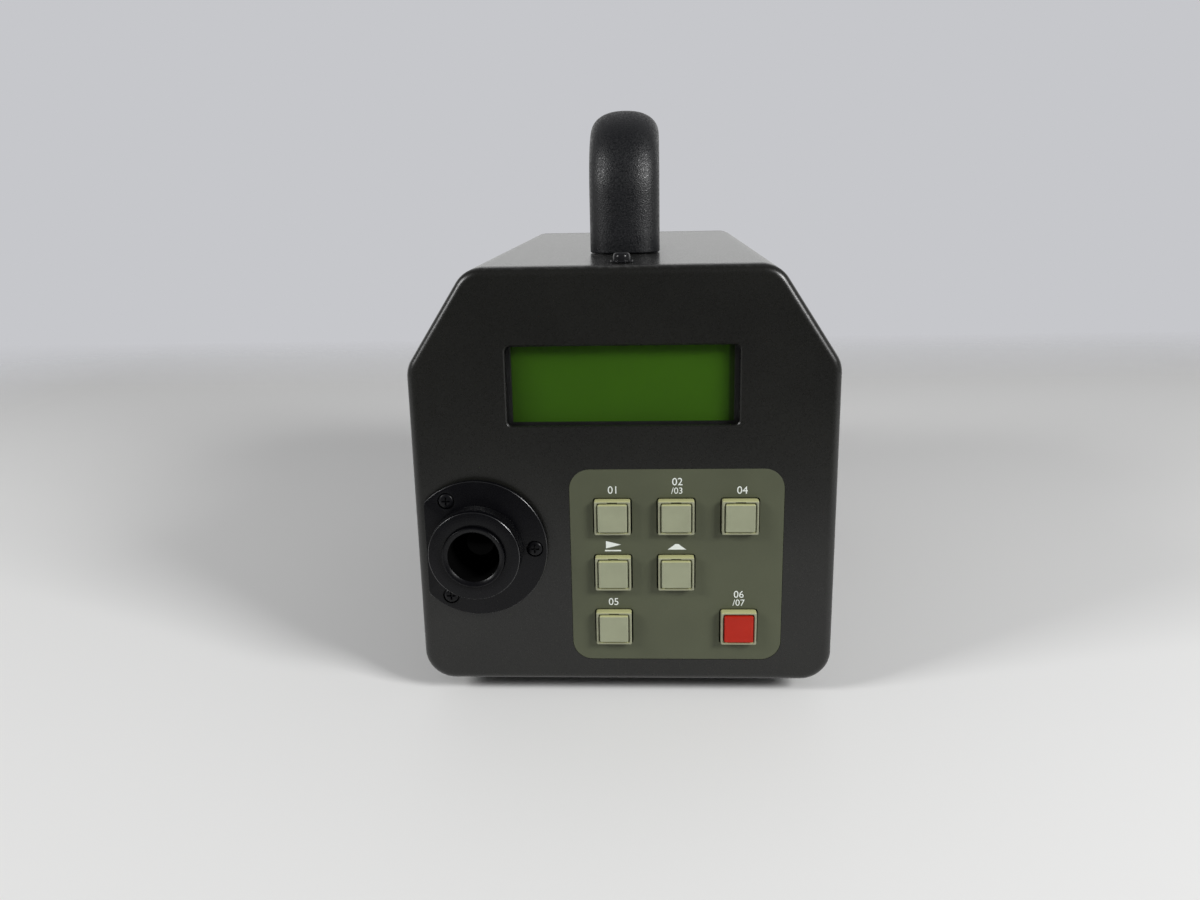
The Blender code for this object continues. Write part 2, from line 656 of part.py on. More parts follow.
def pegs(name, centres, radius, start, end, axis="Y", steps=SMALL_ROUND_STEPS):
    """One mesh of straight round pegs, for holes and bosses."""
    bm = bmesh.new()
    for centre in centres:
        outline = circle(radius, steps, centre)
        low = [bm.verts.new(along(axis, p.x, p.y, start)) for p in outline]
        high = [bm.verts.new(along(axis, p.x, p.y, end)) for p in outline]
        bm.faces.new(low)
        bm.faces.new(high)
        for i in range(steps):
            j = (i + 1) % steps
            bm.faces.new((low[i], low[j], high[j], high[i]))
    return to_object(name, bm)


def ribbed_turning(name, profile, ribs, depth, look, place):
    """A turning round y, closed on itself, whose profile entries marked True carry ribs."""
    rings = []
    for radius, at, ribbed in profile:
        ring = []
        for i in range(2 * ribs):
            angle = math.pi * i / ribs
            reach = radius - depth * (i % 2) if ribbed else radius
            ring.append(Vector((reach * math.cos(angle), at, reach * math.sin(angle))))
        rings.append(ring)
    return lofted(name, rings, look, closed=True, place=place)


def key_centre(key):
    """Where a key's centre line stands on the panel, as x and z."""
    column, row = KEY_GRID_STEPS[key]
    across_share = KEY_COLUMN_INSET_SHARE + column * KEY_COLUMN_PITCH_SHARE
    down_share = KEY_ROW_INSET_SHARE + row * KEY_ROW_PITCH_SHARE
    x = KEYPAD_X + KEYPAD_WIDTH * (across_share - 0.5)
    z = KEYPAD_Z + KEYPAD_HEIGHT * (0.5 - down_share)
    return x, z


def corner_places(width, height, centre, inset):
    """The four places set in from the corners of a rectangle."""
    return rectangle(width - 2 * inset, height - 2 * inset, centre)


def end_panel(name, plate, look):
    """A dished casting: a flat plate, a rounded edge, a rim and the lip that the cover slides over."""
    rings = []
    for step in range(EDGE_ROUNDING_STEPS + 1):
        angle = QUARTER_TURN * step / EDGE_ROUNDING_STEPS
        inset = EDGE_ROUNDING * (1 - math.sin(angle))
        rings.append((inset, EDGE_ROUNDING * (1 - math.cos(angle))))
    rings += [
        (0.0, RIM_DEPTH),
        (LIP_INSET, RIM_DEPTH),
        (LIP_INSET, LIP_END),
        (LIP_INSET + LIP_WALL, LIP_END),
        (LIP_INSET + LIP_WALL, plate),
    ]
    skins = [[along("Y", p.x, p.y, y) for p in body_outline(inset)] for inset, y in rings]
    return lofted(name, skins, look)


def make_front_panel():
    """The operator's panel with its window, keypad pocket, key openings, eyepiece bore and posts."""
    panel = end_panel("front_panel", FACE_PLATE, LOOKS["panel"])
    display_posts = corner_places(
        DISPLAY_BOARD_WIDTH, DISPLAY_BOARD_HEIGHT, (0, WINDOW_Z), POST_INSET
    )
    key_posts = corner_places(
        KEYPAD_WIDTH, KEYPAD_HEIGHT, (KEYPAD_X, KEYPAD_Z), KEY_BOARD_MARGIN + POST_INSET
    )
    inside_plate = FACE_PLATE / 2
    weld(
        panel,
        pegs(
            "display_posts",
            display_posts,
            POST_RADIUS,
            inside_plate,
            DISPLAY_BOARD_FRONT - SEAT_GAP,
            steps=POST_STEPS,
        ),
        pegs(
            "key_posts",
            key_posts,
            POST_RADIUS,
            inside_plate,
            KEY_BOARD_DEPTH - SEAT_GAP,
            steps=POST_STEPS,
        ),
        cover_boss("front_boss", COVER_SCREW_DEPTH),
    )
    cut(
        panel,
        window_cutter(),
        extruded(
            "pane_rebate",
            rounded_rectangle(
                WINDOW_WIDTH + 2 * (PANE_OVERLAP + SEAT_GAP),
                WINDOW_HEIGHT + 2 * (PANE_OVERLAP + SEAT_GAP),
                WINDOW_CORNER,
                (0, WINDOW_Z),
            ),
            PANE_FRONT - SEAT_GAP,
            FACE_PLATE + OVERRUN,
        ),
        extruded(
            "keypad_pocket",
            rounded_rectangle(
                KEYPAD_WIDTH + 2 * SEAT_GAP,
                KEYPAD_HEIGHT + 2 * SEAT_GAP,
                KEYPAD_CORNER + SEAT_GAP,
                (KEYPAD_X, KEYPAD_Z),
            ),
            -OVERRUN,
            OVERLAY_THICKNESS + SEAT_GAP,
        ),
        key_openings("panel_key_openings", FACE_PLATE + OVERRUN),
        pegs(
            "eyepiece_bore",
            [(EYEPIECE_X, AXIS_HEIGHT)],
            BARREL_RADIUS + RUNNING_GAP + FLANGE_TUBE_WALL + SEAT_GAP,
            -OVERRUN,
            FACE_PLATE + OVERRUN,
            steps=ROUND_STEPS,
        ),
        pegs(
            "panel_flange_screw_holes",
            flange_screw_places(),
            SCREW_RADIUS + SEAT_GAP,
            -OVERRUN,
            FACE_PLATE + OVERRUN,
        ),
        cover_screw_hole("front_screw_hole", COVER_SCREW_DEPTH),
    )
    return panel


def window_cutter():
    """The window's hole, flared at the face so that its edge has a fine chamfer."""
    flare = WINDOW_CHAMFER + OVERRUN
    stations = ((-OVERRUN, flare), (WINDOW_CHAMFER, 0.0), (FACE_PLATE + OVERRUN, 0.0))
    rings = []
    for y, grow in stations:
        outline = rounded_rectangle(
            WINDOW_WIDTH + 2 * grow,
            WINDOW_HEIGHT + 2 * grow,
            WINDOW_CORNER + grow,
            (0, WINDOW_Z),
        )
        rings.append([along("Y", p.x, p.y, y) for p in outline])
    return lofted("window_hole", rings)


def key_openings(name, end):
    """The square holes that the key bezels stand in."""
    boxes = []
    half_x = BEZEL_WIDTH / 2 + SEAT_GAP
    half_z = BEZEL_HEIGHT / 2 + SEAT_GAP
    for key in KEY_GRID_STEPS:
        x, z = key_centre(key)
        boxes.append(((x - half_x, -OVERRUN, z - half_z), (x + half_x, end, z + half_z)))
    return blocks(name, boxes)


def cover_boss(name, y):
    """The thickened spot under the lip that a cover screw bites into."""
    top = BODY_HEIGHT - LIP_INSET - LIP_WALL / 2
    bottom = BODY_HEIGHT - LIP_INSET - LIP_WALL - COVER_BOSS_DROP
    half = COVER_BOSS_RADIUS
    end = LIP_END - LIP_WALL / 2
    if y > BODY_LENGTH / 2:
        low = (-half, BODY_LENGTH - end, bottom)
        high = (half, BODY_LENGTH - RIM_DEPTH, top)
    else:
        low = (-half, RIM_DEPTH, bottom)
        high = (half, end, top)
    return blocks(name, [(low, high)])


def cover_screw_hole(name, y):
    """A hole straight down for a cover screw."""
    bottom = BODY_HEIGHT - LIP_INSET - LIP_WALL - COVER_BOSS_DROP
    radius = SCREW_RADIUS + SEAT_GAP
    return pegs(name, [(0, y)], radius, bottom - OVERRUN, BODY_HEIGHT + OVERRUN, axis="Z")


def flange_screw_places():
    """Where the eyepiece flange's screws stand, as x and z."""
    places = []
    for i in range(FLANGE_SCREW_COUNT):
        angle = FULL_TURN * i / FLANGE_SCREW_COUNT
        x = EYEPIECE_X + FLANGE_SCREW_CIRCLE * math.cos(angle)
        z = AXIS_HEIGHT + FLANGE_SCREW_CIRCLE * math.sin(angle)
        places.append((x, z))
    return places


def make_rear_panel():
    """The panel on the objective's side: the same casting turned round, with the lens bore."""
    panel = end_panel("rear_panel", REAR_PLATE, LOOKS["panel"])
    panel.rotation_euler.z = math.pi
    panel.location.y = BODY_LENGTH
    screw_depth = BODY_LENGTH - COVER_SCREW_DEPTH
    weld(panel, cover_boss("rear_boss", screw_depth))
    cut(
        panel,
        pegs(
            "objective_bore",
            [(0, AXIS_HEIGHT)],
            MOUNT_TUBE_RADIUS + SEAT_GAP,
            BODY_LENGTH - REAR_PLATE - OVERRUN,
            BODY_LENGTH + OVERRUN,
            steps=ROUND_STEPS,
        ),
        cover_screw_hole("rear_screw_hole", screw_depth),
    )
    return panel


def make_cover():
    """One folded sheet over the top and sides, its lower edges turned in towards the base."""
    outer = body_outline()
    inner = body_outline(COVER_SHEET)
    split = FOLD_STEPS + 1
    edge = HALF_WIDTH - LOWER_CORNER_RADIUS - COVER_RETURN
    profile = [Vector((edge, 0))] + outer[split:] + outer[:split] + [Vector((-edge, 0))]
    back = [Vector((edge, COVER_SHEET))] + inner[split:] + inner[:split]
    back.append(Vector((-edge, COVER_SHEET)))
    profile += reversed(back)
    start = RIM_DEPTH + SEAT_GAP
    cover = extruded("cover", profile, start, BODY_LENGTH - start, LOOKS["cover"])
    hole_bottom = BODY_HEIGHT - COVER_SHEET - OVERRUN
    hole_top = BODY_HEIGHT + OVERRUN
    screw_places = [(0, COVER_SCREW_DEPTH), (0, BODY_LENGTH - COVER_SCREW_DEPTH)]
    stud_places = [(0, y) for y in HANDLE_FOOT_CENTRES]
    cut(
        cover,
        extruded(
            "bay_window",
            rounded_rectangle(BAY_LENGTH, BAY_HEIGHT, BAY_CORNER, (BAY_CENTRE_Y, BAY_CENTRE_Z)),
            HALF_WIDTH - COVER_SHEET - OVERRUN,
            HALF_WIDTH + OVERRUN,
            axis="X",
        ),
        pegs(
            "cover_screw_holes",
            screw_places,
            SCREW_RADIUS + SEAT_GAP,
            hole_bottom,
            hole_top,
            axis="Z",
        ),
        pegs(
            "cover_stud_holes",
            stud_places,
            STUD_RADIUS + SEAT_GAP,
            hole_bottom,
            hole_top,
            axis="Z",
        ),
    )
    return cover


def make_base():
    """The base plate, with a thin tongue at each end that laps under a panel's lip."""
    start = RIM_DEPTH + SEAT_GAP
    shoulder = LIP_END + SEAT_GAP
    profile = [
        (start, 0),
        (BODY_LENGTH - start, 0),
        (BODY_LENGTH - start, BASE_TONGUE),
        (BODY_LENGTH - shoulder, BASE_TONGUE),
        (BODY_LENGTH - shoulder, BASE_THICKNESS),
        (shoulder, BASE_THICKNESS),
        (shoulder, BASE_TONGUE),
        (start, BASE_TONGUE),
    ]
    base = extruded(
        "base_plate", profile, -BASE_HALF_WIDTH, BASE_HALF_WIDTH, LOOKS["cast"], axis="X"
    )
    cut(
        base,
        pegs(
            "socket_hole",
            [(0, BODY_LENGTH / 2)],
            SOCKET_RADIUS + SEAT_GAP,
            -OVERRUN,
            BASE_THICKNESS + OVERRUN,
            axis="Z",
            steps=INNER_ROUND_STEPS,
        ),
    )
    inner, outer, edge = SOCKET_THREAD_RADIUS, SOCKET_RADIUS, SOCKET_CHAMFER
    turned(
        "tripod_socket",
        [
            (inner, BASE_THICKNESS),
            (outer, BASE_THICKNESS),
            (outer, -SOCKET_DROP + edge),
            (outer - edge, -SOCKET_DROP),
            (inner + edge, -SOCKET_DROP),
            (inner, -SOCKET_DROP + edge),
        ],
        LOOKS["steel"],
        axis="Z",
        place=(0, BODY_LENGTH / 2, 0),
        steps=INNER_ROUND_STEPS,
    )


def make_feet():
    """Four rubber feet under the base plate."""
    x = BASE_HALF_WIDTH - FOOT_SIDE_MARGIN - FOOT_RADIUS
    near = LIP_END + FOOT_END_MARGIN
    tip = FOOT_RADIUS * FOOT_TIP_SHARE
    profile = [
        (0, -SEAT_GAP),
        (FOOT_RADIUS, -SEAT_GAP),
        (tip, -FOOT_HEIGHT + FOOT_EDGE),
        (tip - FOOT_EDGE, -FOOT_HEIGHT),
        (0, -FOOT_HEIGHT),
    ]
    for end, y in (("front", near), ("rear", BODY_LENGTH - near)):
        for side, sign in (("left", -1), ("right", 1)):
            turned(
                f"foot_{end}_{side}",
                profile,
                LOOKS["rubber"],
                axis="Z",
                place=(sign * x, y, 0),
                steps=SMALL_ROUND_STEPS,
            )


def screw(name, place, length, head_radius, head_height, axis, sign, washer=False):
    """A pan-head screw; its head stands on the place and its shank runs against sign."""
    seat = WASHER_THICKNESS if washer else 0.0
    top = seat + head_height
    profile = [(0, -length), (SCREW_RADIUS, -length)]
    if washer:
        profile += [(SCREW_RADIUS, 0), (WASHER_RADIUS, 0), (WASHER_RADIUS, seat)]
    else:
        profile += [(SCREW_RADIUS, 0)]
    profile += [
        (head_radius, seat),
        (head_radius, top - SCREW_CROWN),
        (head_radius - SCREW_CROWN, top),
        (0, top),
    ]
    profile = [(radius, sign * at) for radius, at in profile]
    turned(name, profile, LOOKS["screw"], axis, place, SMALL_ROUND_STEPS)


def make_cover_screws():
    """The two screws on the top's centre line, with their washers."""
    height = BODY_HEIGHT + SEAT_GAP
    for end, y in (("front", COVER_SCREW_DEPTH), ("rear", BODY_LENGTH - COVER_SCREW_DEPTH)):
        screw(
            f"cover_screw_{end}",
            (0, y, height),
            COVER_SCREW_LENGTH,
            COVER_SCREW_HEAD_RADIUS,
            COVER_SCREW_HEAD_HEIGHT,
            "Z",
            1,
            washer=True,
        )


def handle_path():
    """The bow's centre line in y and z with the direction it runs in, from the front foot to the rear."""
    half_thickness = HANDLE_THICKNESS / 2
    front, rear = HANDLE_FOOT_CENTRES
    bottom = BODY_HEIGHT + SEAT_GAP
    top = BODY_HEIGHT + HANDLE_RISE - half_thickness
    bend = HANDLE_BEND_RADIUS - half_thickness
    path = [(front, bottom, QUARTER_TURN)]
    for step in range(HANDLE_BEND_STEPS + 1):
        angle = QUARTER_TURN * step / HANDLE_BEND_STEPS
        y = front + bend * (1 - math.cos(angle))
        path.append((y, top - bend + bend * math.sin(angle), QUARTER_TURN - angle))
    for step in range(HANDLE_BEND_STEPS + 1):
        angle = QUARTER_TURN * step / HANDLE_BEND_STEPS
        y = rear - bend + bend * math.sin(angle)
        path.append((y, top - bend + bend * math.cos(angle), -angle))
    path.append((rear, bottom, -QUARTER_TURN))
    return path


def handle_section():
    """The grip's cross-section, a squared oval, as across and outward offsets."""
    power = 2 / HANDLE_SQUARENESS
    points = []
    for i in range(HANDLE_SECTION_STEPS):
        angle = FULL_TURN * i / HANDLE_SECTION_STEPS
        c, s = math.cos(angle), math.sin(angle)
        across = math.copysign(abs(c) ** power, c) * HANDLE_WIDTH / 2
        outward = math.copysign(abs(s) ** power, s) * HANDLE_THICKNESS / 2
        points.append((across, outward))
    return points


def make_handle():
    """The moulded bow, and the strap with two studs that clamps it through the cover."""
    section = handle_section()
    rings = []
    for y, z, heading in handle_path():
        out_y, out_z = -math.sin(heading), math.cos(heading)
        rings.append([Vector((a, y + o * out_y, z + o * out_z)) for a, o in section])
    handle = lofted("handle", rings, LOOKS["handle"])
    top = BODY_HEIGHT + STUD_LENGTH
    places = [(0, y) for y in HANDLE_FOOT_CENTRES]
    bore = pegs(
        "handle_stud_bores",
        places,
        STUD_RADIUS + SEAT_GAP,
        BODY_HEIGHT - OVERRUN,
        top + SEAT_GAP,
        axis="Z",
    )
    cut(handle, bore)
    strap_top = BODY_HEIGHT - COVER_SHEET - SEAT_GAP
    start = HANDLE_FRONT - STRAP_END
    end = HANDLE_FRONT + HANDLE_LENGTH + STRAP_END
    outline = rounded_rectangle(
        STRAP_WIDTH, end - start, STRAP_END, (0, (start + end) / 2), FOLD_STEPS
    )
    strap = extruded(
        "handle_strap",
        outline,
        strap_top - STRAP_THICKNESS,
        strap_top,
        LOOKS["steel"],
        axis="Z",
    )
    studs = pegs(
        "handle_studs", places, STUD_RADIUS, strap_top - STRAP_THICKNESS / 2, top, axis="Z"
    )
    weld(strap, studs)


def make_display():
    """The window pane and the module behind it: metal frame, glass, and board with its light guide."""
    centre = (0, WINDOW_Z)
    extruded(
        "display_window",
        rounded_rectangle(
            WINDOW_WIDTH + 2 * PANE_OVERLAP,
            WINDOW_HEIGHT + 2 * PANE_OVERLAP,
            WINDOW_CORNER,
            centre,
        ),
        PANE_FRONT,
        PANE_BACK,
        LOOKS["pane"],
    )
    front = DISPLAY_FRAME_FRONT
    back = front + DISPLAY_FRAME_DEPTH
    frame = extruded(
        "display_frame",
        rectangle(DISPLAY_FRAME_WIDTH, DISPLAY_FRAME_HEIGHT, centre),
        front,
        back,
        LOOKS["black"],
    )
    hollow_width = DISPLAY_FRAME_WIDTH - 2 * DISPLAY_FRAME_SHEET
    hollow_height = DISPLAY_FRAME_HEIGHT - 2 * DISPLAY_FRAME_SHEET
    cut(
        frame,
        extruded(
            "display_frame_hollow",
            rectangle(hollow_width, hollow_height, centre),
            front + DISPLAY_FRAME_SHEET,
            back + OVERRUN,
        ),
        extruded(
            "display_frame_view",
            rectangle(DISPLAY_VIEW_WIDTH, DISPLAY_VIEW_HEIGHT, centre),
            front - OVERRUN,
            back,
        ),
    )
    glass_width = DISPLAY_VIEW_WIDTH + 2 * DISPLAY_GLASS_MARGIN
    glass_height = DISPLAY_VIEW_HEIGHT + 2 * DISPLAY_GLASS_MARGIN
    glass_front = front + DISPLAY_FRAME_SHEET + SEAT_GAP
    glass_back = glass_front + DISPLAY_GLASS_THICKNESS
    extruded(
        "display_glass",
        rectangle(glass_width, glass_height, centre),
        glass_front,
        glass_back,
        LOOKS["lcd"],
    )
    board = extruded(
        "display_board",
        rectangle(DISPLAY_BOARD_WIDTH, DISPLAY_BOARD_HEIGHT, centre),
        DISPLAY_BOARD_FRONT,
        DISPLAY_BOARD_FRONT + BOARD_THICKNESS,
        LOOKS["board"],
    )
    guide = extruded(
        "light_guide",
        rectangle(glass_width, glass_height, centre),
        glass_back + SEAT_GAP,
        DISPLAY_BOARD_FRONT + BOARD_THICKNESS / 2,
    )
    weld(board, guide)


def make_keypad():
    """The printed overlay, the bezels and caps of the keys, and the board with their switches."""
    centre = (KEYPAD_X, KEYPAD_Z)
    overlay = extruded(
        "keypad_overlay",
        rounded_rectangle(KEYPAD_WIDTH, KEYPAD_HEIGHT, KEYPAD_CORNER, centre),
        0,
        OVERLAY_THICKNESS,
        LOOKS["overlay"],
    )
    cut(overlay, key_openings("overlay_key_openings", OVERLAY_THICKNESS + OVERRUN))
    switch_front = KEY_BOARD_DEPTH - KEY_SWITCH_HEIGHT
    switches = []
    half = KEY_SWITCH_SIZE / 2
    for key in KEY_GRID_STEPS:
        x, z = key_centre(key)
        make_key(key, x, z, switch_front)
        low = (x - half, switch_front, z - half)
        switches.append((low, (x + half, KEY_BOARD_DEPTH + BOARD_THICKNESS / 2, z + half)))
    board = extruded(
        "key_board",
        rectangle(
            KEYPAD_WIDTH - 2 * KEY_BOARD_MARGIN, KEYPAD_HEIGHT - 2 * KEY_BOARD_MARGIN, centre
        ),
        KEY_BOARD_DEPTH,
        KEY_BOARD_DEPTH + BOARD_THICKNESS,
        LOOKS["board"],
    )
    weld(board, blocks("key_switches", switches))


def make_key(key, x, z, switch_front):
    """One key: a square bezel that stands on the board, and the cap that slides in it."""
    place = (x, 0, z)
    bezel_back = KEY_BOARD_DEPTH - SEAT_GAP
    bezel = extruded(
        key.replace("key", "bezel"),
        rectangle(BEZEL_WIDTH, BEZEL_HEIGHT),
        -BEZEL_STAND,
        bezel_back,
        LOOKS["cream"],
        place=place,
    )
    soften(bezel, BEZEL_EDGE)
    hollow_width = BEZEL_WIDTH - 2 * BEZEL_RIM
    hollow_height = BEZEL_HEIGHT - 2 * BEZEL_RIM
    hollow = extruded(
        f"{key}_hollow",
        rectangle(hollow_width, hollow_height),
        -BEZEL_STAND - OVERRUN,
        bezel_back + OVERRUN,
        place=place,
    )
    cut(bezel, hollow)
    if key != MEASURE_KEY:
        notch_top = hollow_height / 2 + BEZEL_RIM * BEZEL_NOTCH_SHARE
        low = (-BEZEL_NOTCH_WIDTH / 2, -BEZEL_STAND - OVERRUN, 0)
        high = (BEZEL_NOTCH_WIDTH / 2, 0, notch_top)
        cut(bezel, blocks(f"{key}_notch", [(low, high)], place=place))
    cap_front = -BEZEL_STAND - CAP_PROUD
    cap_back = cap_front + CAP_BODY_DEPTH
    cap = extruded(
        key,
        rectangle(hollow_width - 2 * RUNNING_GAP, hollow_height - 2 * RUNNING_GAP),
        cap_front,
        cap_back,
        LOOKS["red" if key == MEASURE_KEY else "cream"],
        place=place,
    )
    soften(cap, CAP_EDGE)
    stem_end = switch_front - KEY_TRAVEL - SEAT_GAP
    stem = pegs(f"{key}_stem", [(x, z)], KEY_STEM_RADIUS, cap_front + CAP_EDGE * 2, stem_end)
    weld(cap, stem)


def make_eyepiece():
    """Flange with a neck and tube, its screws, the ribbed dioptre ring, and the barrel with its lens."""
    place = (EYEPIECE_X, 0, AXIS_HEIGHT)
    tube_bore = BARREL_RADIUS + RUNNING_GAP
    neck = tube_bore + FLANGE_NECK_WALL
    tube = tube_bore + FLANGE_TUBE_WALL
    neck_front = FLANGE_FRONT - FLANGE_NECK_REACH
    flange = turned(
        "eyepiece_flange",
        [
            (tube_bore, neck_front),
            (neck, neck_front),
            (neck, FLANGE_FRONT),
            (FLANGE_RADIUS - FLANGE_EDGE, FLANGE_FRONT),
            (FLANGE_RADIUS, FLANGE_FRONT + FLANGE_EDGE),
            (FLANGE_RADIUS, -SEAT_GAP),
            (tube, -SEAT_GAP),
            (tube, FLANGE_TUBE_DEPTH),
            (tube_bore, FLANGE_TUBE_DEPTH),
        ],
        LOOKS["black"],
        place=place,
        steps=ROUND_STEPS,
    )
    reach = FLANGE_RADIUS + OVERRUN
    flat = blocks(
        "flange_flat",
        [((-reach, FLANGE_FRONT - OVERRUN, -reach), (-FLANGE_FLAT, 0, reach))],
        place=place,
    )
    sink_floor = FLANGE_FRONT + FLANGE_SINK_DEPTH
    cut(
        flange,
        flat,
        pegs(
            "flange_sinks",
            flange_screw_places(),
            FLANGE_SCREW_HEAD_RADIUS + FLANGE_SINK_GAP,
            FLANGE_FRONT - OVERRUN,
            sink_floor,
        ),
        pegs(
            "flange_screw_holes",
            flange_screw_places(),
            SCREW_RADIUS + SEAT_GAP,
            FLANGE_FRONT - OVERRUN,
            OVERRUN,
        ),
    )
    for i, (x, z) in enumerate(flange_screw_places(), 1):
        seat = (x, sink_floor - SEAT_GAP, z)
        screw(
            f"flange_screw_{i}",
            seat,
            FLANGE_SCREW_LENGTH,
            FLANGE_SCREW_HEAD_RADIUS,
            FLANGE_SCREW_HEAD_HEIGHT,
            "Y",
            -1,
        )
    grip_front = DIOPTRE_BACK - DIOPTRE_GRIP_LENGTH
    counterbore = neck + RUNNING_GAP
    counterbore_end = neck_front - RUNNING_GAP
    collar = DIOPTRE_RING_RADIUS - DIOPTRE_RIB_DEPTH / 2
    root = DIOPTRE_RING_RADIUS
    ribbed_turning(
        "dioptre_ring",
        [
            (tube_bore, counterbore_end, False),
            (counterbore, counterbore_end, False),
            (counterbore, DIOPTRE_BACK, False),
            (root - DIOPTRE_EDGE, DIOPTRE_BACK, False),
            (root, DIOPTRE_BACK - DIOPTRE_EDGE, True),
            (root, grip_front + DIOPTRE_EDGE, True),
            (root - DIOPTRE_EDGE * 2, grip_front, False),
            (collar, grip_front - DIOPTRE_EDGE, False),
            (collar, DIOPTRE_FRONT + DIOPTRE_EDGE, False),
            (collar - DIOPTRE_EDGE, DIOPTRE_FRONT, False),
            (tube_bore, DIOPTRE_FRONT, False),
        ],
        DIOPTRE_RIBS,
        DIOPTRE_RIB_DEPTH,
        LOOKS["black"],
        place,
    )
    make_eyepiece_barrel(place)


def make_eyepiece_barrel(place):
    """The sliding barrel, stepped inside to hold the eye lens."""
    stop = BARREL_BORE - BARREL_SHOULDER
    lens_front = BARREL_FRONT + EYE_LENS_DEPTH
    stop_front = lens_front + EYE_LENS_THICKNESS + SEAT_GAP
    stop_back = stop_front + EYE_STOP_LENGTH
    turned(
        "eyepiece_barrel",
        [
            (BARREL_BORE + BARREL_MOUTH, BARREL_FRONT),
            (BARREL_RADIUS - BARREL_MOUTH / 2, BARREL_FRONT),
            (BARREL_RADIUS, BARREL_FRONT + BARREL_MOUTH / 2),
            (BARREL_RADIUS, BARREL_TAIL),
            (BARREL_BORE, BARREL_TAIL),
            (BARREL_BORE, stop_back),
            (stop, stop_back),
            (stop, stop_front),
            (BARREL_BORE, stop_front),
            (BARREL_BORE, BARREL_FRONT + BARREL_MOUTH),
        ],
        LOOKS["black"],
        place=place,
        steps=ROUND_STEPS,
    )
    edge = BARREL_BORE - SEAT_GAP
    turned(
        "eyepiece_lens",
        lens_profile(edge, lens_front, EYE_LENS_THICKNESS, EYE_LENS_BULGE),
        LOOKS["glass"],
        place=place,
        steps=INNER_ROUND_STEPS,
    )


def lens_profile(radius, front, thickness, bulge):
    """A flat-backed lens: a parabola bulging towards the front, within the stated thickness."""
    back = front + thickness
    crown = lens_crown(radius, front, bulge)
    return crown + [(radius, back), (0, back)]


def lens_crown(radius, tip, sag):
    """Points of a parabola from its tip on the axis to the rim, which stands off the tip by the sag."""
    shares = [i / LENS_RINGS for i in range(LENS_RINGS + 1)]
    return [(radius * share, tip + sag * share**2) for share in shares]


def make_objective():
    """Lens mount on the rear panel, ribbed focusing ring, and the sliding lens head with its glass."""
    place = (0, BODY_LENGTH, AXIS_HEIGHT)
    bore = MOUNT_TUBE_RADIUS - MOUNT_TUBE_WALL
    face = SEAT_GAP + MOUNT_THICKNESS
    tube_end = face + FOCUS_RING_LENGTH * MOUNT_TUBE_REACH_SHARE
    turned(
        "lens_mount",
        [
            (bore, -MOUNT_TAIL),
            (MOUNT_TUBE_RADIUS, -MOUNT_TAIL),
            (MOUNT_TUBE_RADIUS, SEAT_GAP),
            (MOUNT_RADIUS, SEAT_GAP),
            (MOUNT_RADIUS, face - FOCUS_EDGE),
            (MOUNT_RADIUS - FOCUS_EDGE, face),
            (MOUNT_TUBE_RADIUS, face),
            (MOUNT_TUBE_RADIUS, tube_end),
            (bore, tube_end),
        ],
        LOOKS["black"],
        place=place,
        steps=ROUND_STEPS,
    )
    start = face + RUNNING_GAP
    end = start + FOCUS_RING_LENGTH
    inner = MOUNT_TUBE_RADIUS + RUNNING_GAP
    band = FOCUS_RING_LENGTH * FOCUS_RIB_BAND_SHARE
    band_start = start + (FOCUS_RING_LENGTH - band) / 2
    band_end = band_start + band
    low = FOCUS_RING_RADIUS - FOCUS_RIB_DEPTH
    ribbed_turning(
        "focus_ring",
        [
            (inner, start, False),
            (low - FOCUS_EDGE, start, False),
            (low, start + FOCUS_EDGE, False),
            (low, band_start, False),
            (FOCUS_RING_RADIUS, band_start + FOCUS_EDGE, True),
            (FOCUS_RING_RADIUS, band_end - FOCUS_EDGE, True),
            (low, band_end, False),
            (low, end - FOCUS_EDGE, False),
            (low - FOCUS_EDGE, end, False),
            (inner, end, False),
        ],
        FOCUS_RIBS,
        FOCUS_RIB_DEPTH,
        LOOKS["black"],
        place,
    )
    make_lens_head(place, bore, end)


def make_lens_head(place, mount_bore, ring_end):
    """The head in front of the focusing ring, its tube running back into the mount."""
    tube = mount_bore - RUNNING_GAP
    tube_bore = tube - OBJECTIVE_TUBE_WALL
    back = ring_end + RUNNING_GAP
    front = OBJECTIVE_REACH
    lens_front = front - HOOD_DEPTH
    lens_back = lens_front - LENS_EDGE_THICKNESS - LENS_BULGE
    seat = LENS_RADIUS + SEAT_GAP
    mouth = HEAD_RADIUS - HEAD_RIM_WALL
    turned(
        "objective_barrel",
        [
            (tube_bore, -MOUNT_TAIL / 2),
            (tube, -MOUNT_TAIL / 2),
            (tube, back),
            (HEAD_RADIUS - HEAD_EDGE, back),
            (HEAD_RADIUS, back + HEAD_EDGE),
            (HEAD_RADIUS, front - HEAD_EDGE),
            (HEAD_RADIUS - HEAD_EDGE, front),
            (mouth, front),
            (seat, lens_front),
            (seat, lens_back - SEAT_GAP),
            (seat - LENS_SEAT_STEP, lens_back - SEAT_GAP),
            (seat - LENS_SEAT_STEP, back + HEAD_EDGE),
            (tube_bore, back),
        ],
        LOOKS["black"],
        place=place,
        steps=ROUND_STEPS,
    )
    turned(
        "objective_lens",
        lens_crown(LENS_RADIUS, lens_front, -LENS_BULGE) + [(LENS_RADIUS, lens_back), (0, lens_back)],
        LOOKS["glass"],
        place=place,
        steps=ROUND_STEPS,
    )


